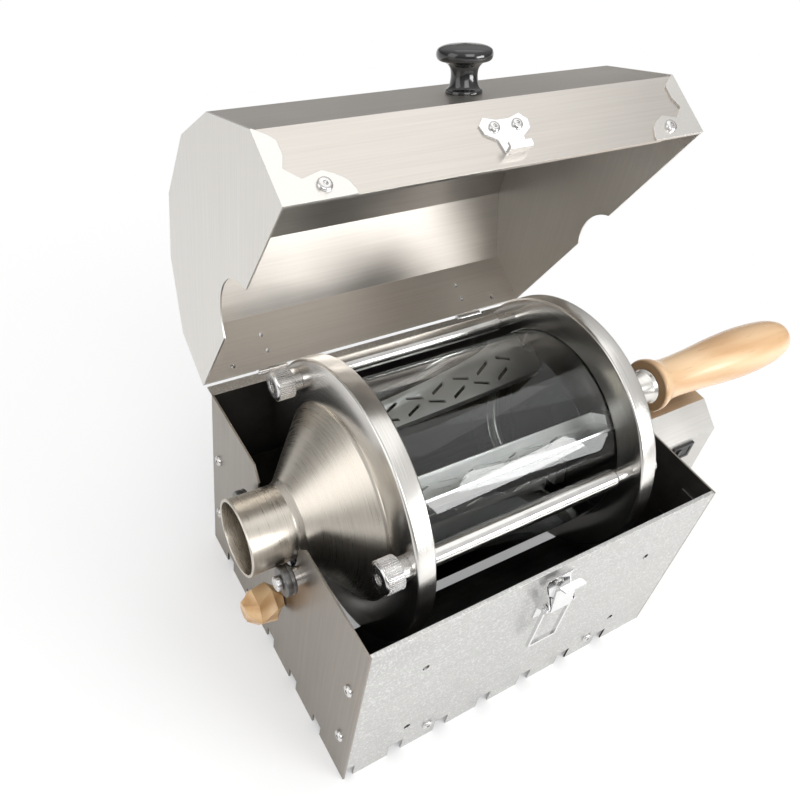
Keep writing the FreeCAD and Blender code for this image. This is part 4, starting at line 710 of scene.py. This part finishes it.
finish(boxHeads, screwSteel, "polished_steel", "housing", "side_panel_screws", "base_rail_screws",
       "motor_housing_screws", "motor_screws", "hinge_fixed_screws", "latch_screws")
lidHeads = applied(pointsObject("lidSeats", onLid), tree, sockets, {"Metal": screwSteel}, "lidScrewHeads")
finish(lidHeads, screwSteel, "polished_steel", "lid", "lid_end_screws", "catch_screws", "hinge_lid_screws")


# Thumb nuts: a turned body with a straight knurl of ridges set round it.
def knurlTree():
    tree, sockets, start, end = newTree("knurl", [("Ridges", "NodeSocketInt", 44),
                                                  ("Radius", "NodeSocketFloat", 0.0092),
                                                  ("Length", "NodeSocketFloat", 0.0098),
                                                  ("Metal", "NodeSocketMaterial", None)])
    n, link = tree.nodes, tree.links.new
    ring = n.new("GeometryNodeMeshCircle")
    link(start.outputs["Ridges"], ring.inputs["Vertices"])
    link(start.outputs["Radius"], ring.inputs["Radius"])
    tilt = n.new("GeometryNodeTransform")
    tilt.inputs["Rotation"].default_value = (0, math.radians(90), 0)
    link(ring.outputs[0], tilt.inputs["Geometry"])
    ridge = n.new("GeometryNodeMeshCylinder")
    ridge.inputs["Vertices"].default_value = 6
    ridge.inputs["Radius"].default_value = 0.00045
    link(start.outputs["Length"], ridge.inputs["Depth"])
    lay = n.new("GeometryNodeTransform")
    lay.inputs["Rotation"].default_value = (0, math.radians(90), 0)
    link(ridge.outputs["Mesh"], lay.inputs["Geometry"])
    around = n.new("GeometryNodeInstanceOnPoints")
    link(tilt.outputs[0], around.inputs["Points"])
    link(lay.outputs[0], around.inputs["Instance"])
    each = n.new("GeometryNodeInstanceOnPoints")
    link(start.outputs["Geometry"], each.inputs["Points"])
    link(around.outputs[0], each.inputs["Instance"])
    real = n.new("GeometryNodeRealizeInstances")
    link(each.outputs[0], real.inputs[0])
    paint = n.new("GeometryNodeSetMaterial")
    link(real.outputs[0], paint.inputs["Geometry"])
    link(start.outputs["Metal"], paint.inputs["Material"])
    link(paint.outputs[0], end.inputs[0])
    return tree, sockets


# A tube with rounded ends along X: its wall section filleted and swept round a circle.
def tubeTree():
    tree, sockets, start, end = newTree("tube", [("Radius", "NodeSocketFloat", 0.066),
                                                 ("Wall", "NodeSocketFloat", 0.003),
                                                 ("Length", "NodeSocketFloat", 0.1586),
                                                 ("Edge", "NodeSocketFloat", 0.0005),
                                                 ("Segments", "NodeSocketInt", 192),
                                                 ("Glass", "NodeSocketMaterial", None)])
    n, link = tree.nodes, tree.links.new
    section = n.new("GeometryNodeCurvePrimitiveQuadrilateral")
    link(start.outputs["Wall"], section.inputs["Width"])
    link(start.outputs["Length"], section.inputs["Height"])
    rounded = n.new("GeometryNodeFilletCurve")
    rounded.mode = "POLY"
    rounded.inputs["Count"].default_value = 3
    link(section.outputs[0], rounded.inputs["Curve"])
    link(start.outputs["Edge"], rounded.inputs["Radius"])
    half = n.new("ShaderNodeMath")
    half.operation = "MULTIPLY_ADD"
    link(start.outputs["Wall"], half.inputs[0])
    half.inputs[1].default_value = -0.5
    link(start.outputs["Radius"], half.inputs[2])
    ring = n.new("GeometryNodeCurvePrimitiveCircle")
    link(start.outputs["Segments"], ring.inputs["Resolution"])
    link(half.outputs[0], ring.inputs["Radius"])
    swept = n.new("GeometryNodeCurveToMesh")
    link(ring.outputs[0], swept.inputs["Curve"])
    link(rounded.outputs[0], swept.inputs["Profile Curve"])
    turn = n.new("GeometryNodeTransform")
    turn.inputs["Rotation"].default_value = (0, math.radians(90), 0)
    link(swept.outputs[0], turn.inputs["Geometry"])
    put = n.new("GeometryNodeInstanceOnPoints")
    link(start.outputs["Geometry"], put.inputs["Points"])
    link(turn.outputs[0], put.inputs["Instance"])
    real = n.new("GeometryNodeRealizeInstances")
    link(put.outputs[0], real.inputs[0])
    paint = n.new("GeometryNodeSetMaterial")
    link(real.outputs[0], paint.inputs["Geometry"])
    link(start.outputs["Glass"], paint.inputs["Material"])
    link(paint.outputs[0], end.inputs[0])
    return tree, sockets


print("glass tube")
tree, sockets = tubeTree()
glassLength = drum["glassTo"] - drum["glassFrom"]
glassAt = Vector(((drum["glassTo"] + drum["glassFrom"]) / 2, 0, axisUp))
glass = {"Radius": drum["glassRadius"] * mm, "Wall": drum["glassWall"] * mm, "Length": glassLength * mm,
         "Edge": 0.0005, "Segments": 192, "Glass": glassClear}
tube = applied(pointsObject("glassSeat", [(glassAt, east, 1)]), tree, sockets, glass, "glassTube")
fixNormals(tube.data)
finish(tube, glassClear, "quartz_glass", "drum", "glass_tube")


print("thumb nuts")
nut = {"radius": 9.1, "edge": 1, "foot": 7, "neck": 5, "length": 17, "bore": 3.4, "boreEnd": 15.2,
       "knurlAt": 10.8}
nutFrom, nutEnd = -face - nut["neck"], -face - nut["length"]
nutLoop = [(nutFrom, bore), (-face, bore), (-face, nut["foot"]), (nutFrom, nut["foot"]),
           (nutFrom - 0.6, nut["radius"]), (nutEnd + nut["edge"], nut["radius"]),
           (nutEnd, nut["radius"] - nut["edge"]), (nutEnd, nut["bore"]),
           (-face - nut["boreEnd"], nut["bore"]), (-face - nut["boreEnd"], bore)]
turnedPiece("thumbNuts", nutLoop, 0.35, rodAt, 48, screwSteel, "polished_steel", "drum", "thumb_nuts")
tree, sockets = knurlTree()
seats = [(Vector((-face - nut["knurlAt"], y, z)), east, 1) for x, y, z in rodAt]
knurl = applied(pointsObject("knurlSeats", seats), tree, sockets, {"Metal": screwSteel}, "thumbNutKnurl")
finish(knurl, screwSteel, "polished_steel", "drum")

print("stage")
floorMat = Shader("paleFloor")
floorMat.put(Base_Color=(0.93, 0.93, 0.93), Roughness=0.7)
# The camera sees the floor fade to plain white away from the part; the part is still lit by the real floor.
away = floorMat.add("ShaderNodeVectorMath", operation="LENGTH")
floorMat.link(floorMat.coords(), away.inputs[0])
seen = floorMat.add("ShaderNodeLightPath")
far = floorMat.mapRange(away.outputs["Value"], 0.17, 0.55, 0.30, 1)
fade = floorMat.math("MULTIPLY", far, seen.outputs["Is Camera Ray"])
glow = floorMat.add("ShaderNodeEmission")
blend = floorMat.add("ShaderNodeMixShader")
floorMat.link(fade, blend.inputs[0])
floorMat.link(floorMat.bsdf.outputs[0], blend.inputs[1])
floorMat.link(glow.outputs[0], blend.inputs[2])
floorMat.link(blend.outputs[0], floorMat.tree.nodes["Material Output"].inputs["Surface"])
bpy.ops.mesh.primitive_plane_add(size=12, location=(0, 0, 0))
floor = bpy.context.object
floor.name = "floor"
floor.data.materials.append(floorMat.mat)

world = bpy.data.worlds.new("studio")
bpy.context.scene.world = world
world.use_nodes = True
tree = world.node_tree
back = tree.nodes["Background"]
place = tree.nodes.new("ShaderNodeTexCoord")
parts = tree.nodes.new("ShaderNodeSeparateXYZ")
ramp = tree.nodes.new("ShaderNodeValToRGB")
ramp.color_ramp.elements[0].position = 0.0
ramp.color_ramp.elements[0].color = (0.16, 0.155, 0.15, 1)
ramp.color_ramp.elements[1].position = 0.75
ramp.color_ramp.elements[1].color = (0.86, 0.86, 0.86, 1)
camRay = tree.nodes.new("ShaderNodeLightPath")
white = tree.nodes.new("ShaderNodeBackground")
white.inputs["Color"].default_value = (1, 1, 1, 1)
pick = tree.nodes.new("ShaderNodeMixShader")
tree.links.new(place.outputs["Generated"], parts.inputs[0])
tree.links.new(parts.outputs["Z"], ramp.inputs["Fac"])
tree.links.new(ramp.outputs["Color"], back.inputs["Color"])
tree.links.new(camRay.outputs["Is Camera Ray"], pick.inputs[0])
tree.links.new(back.outputs[0], pick.inputs[1])
tree.links.new(white.outputs[0], pick.inputs[2])
tree.links.new(pick.outputs[0], tree.nodes["World Output"].inputs["Surface"])

softLights = {"window": {"at": (0.75, -1.25, 0.60), "size": (0.9, 0.42), "power": 13},
              "frontFill": {"at": (-0.35, -1.15, 1.15), "size": (0.9, 0.7), "power": 6},
              "overhead": {"at": (0.3, 0.3, 1.6), "size": (1.6, 1.2), "power": 4},
              "leftFill": {"at": (-1.5, 0.1, 0.7), "size": (1.0, 1.0), "power": 5}}
for name, light in softLights.items():
    data = bpy.data.lights.new(name, "AREA")
    data.shape = "RECTANGLE"
    data.size, data.size_y = light["size"]
    data.energy = light["power"]
    lamp = bpy.data.objects.new(name, data)
    bpy.context.scene.collection.objects.link(lamp)
    lamp.location = light["at"]
    lamp.rotation_euler = (Vector((0, 0, 0.13)) - Vector(light["at"])).to_track_quat("-Z", "Y").to_euler()

shot = {"lens": 36.58, "sensor": 36, "at": (-0.2583, -0.2542, 0.5072), "right": (0.84688, -0.51323, 0.13922),
        "up": (0.27192, 0.64293, 0.71603), "forward": (0.45700, 0.56854, -0.68405)}
camera = bpy.data.objects.new("camera", bpy.data.cameras.new("camera"))
bpy.context.scene.collection.objects.link(camera)
camera.data.lens = shot["lens"]
camera.data.sensor_width = shot["sensor"]
rows = [[shot["right"][i], shot["up"][i], -shot["forward"][i], shot["at"][i]] for i in range(3)]
camera.matrix_world = Matrix(rows + [[0, 0, 0, 1]])
bpy.context.scene.camera = camera
bpy.context.scene.view_settings.view_transform = "Standard"
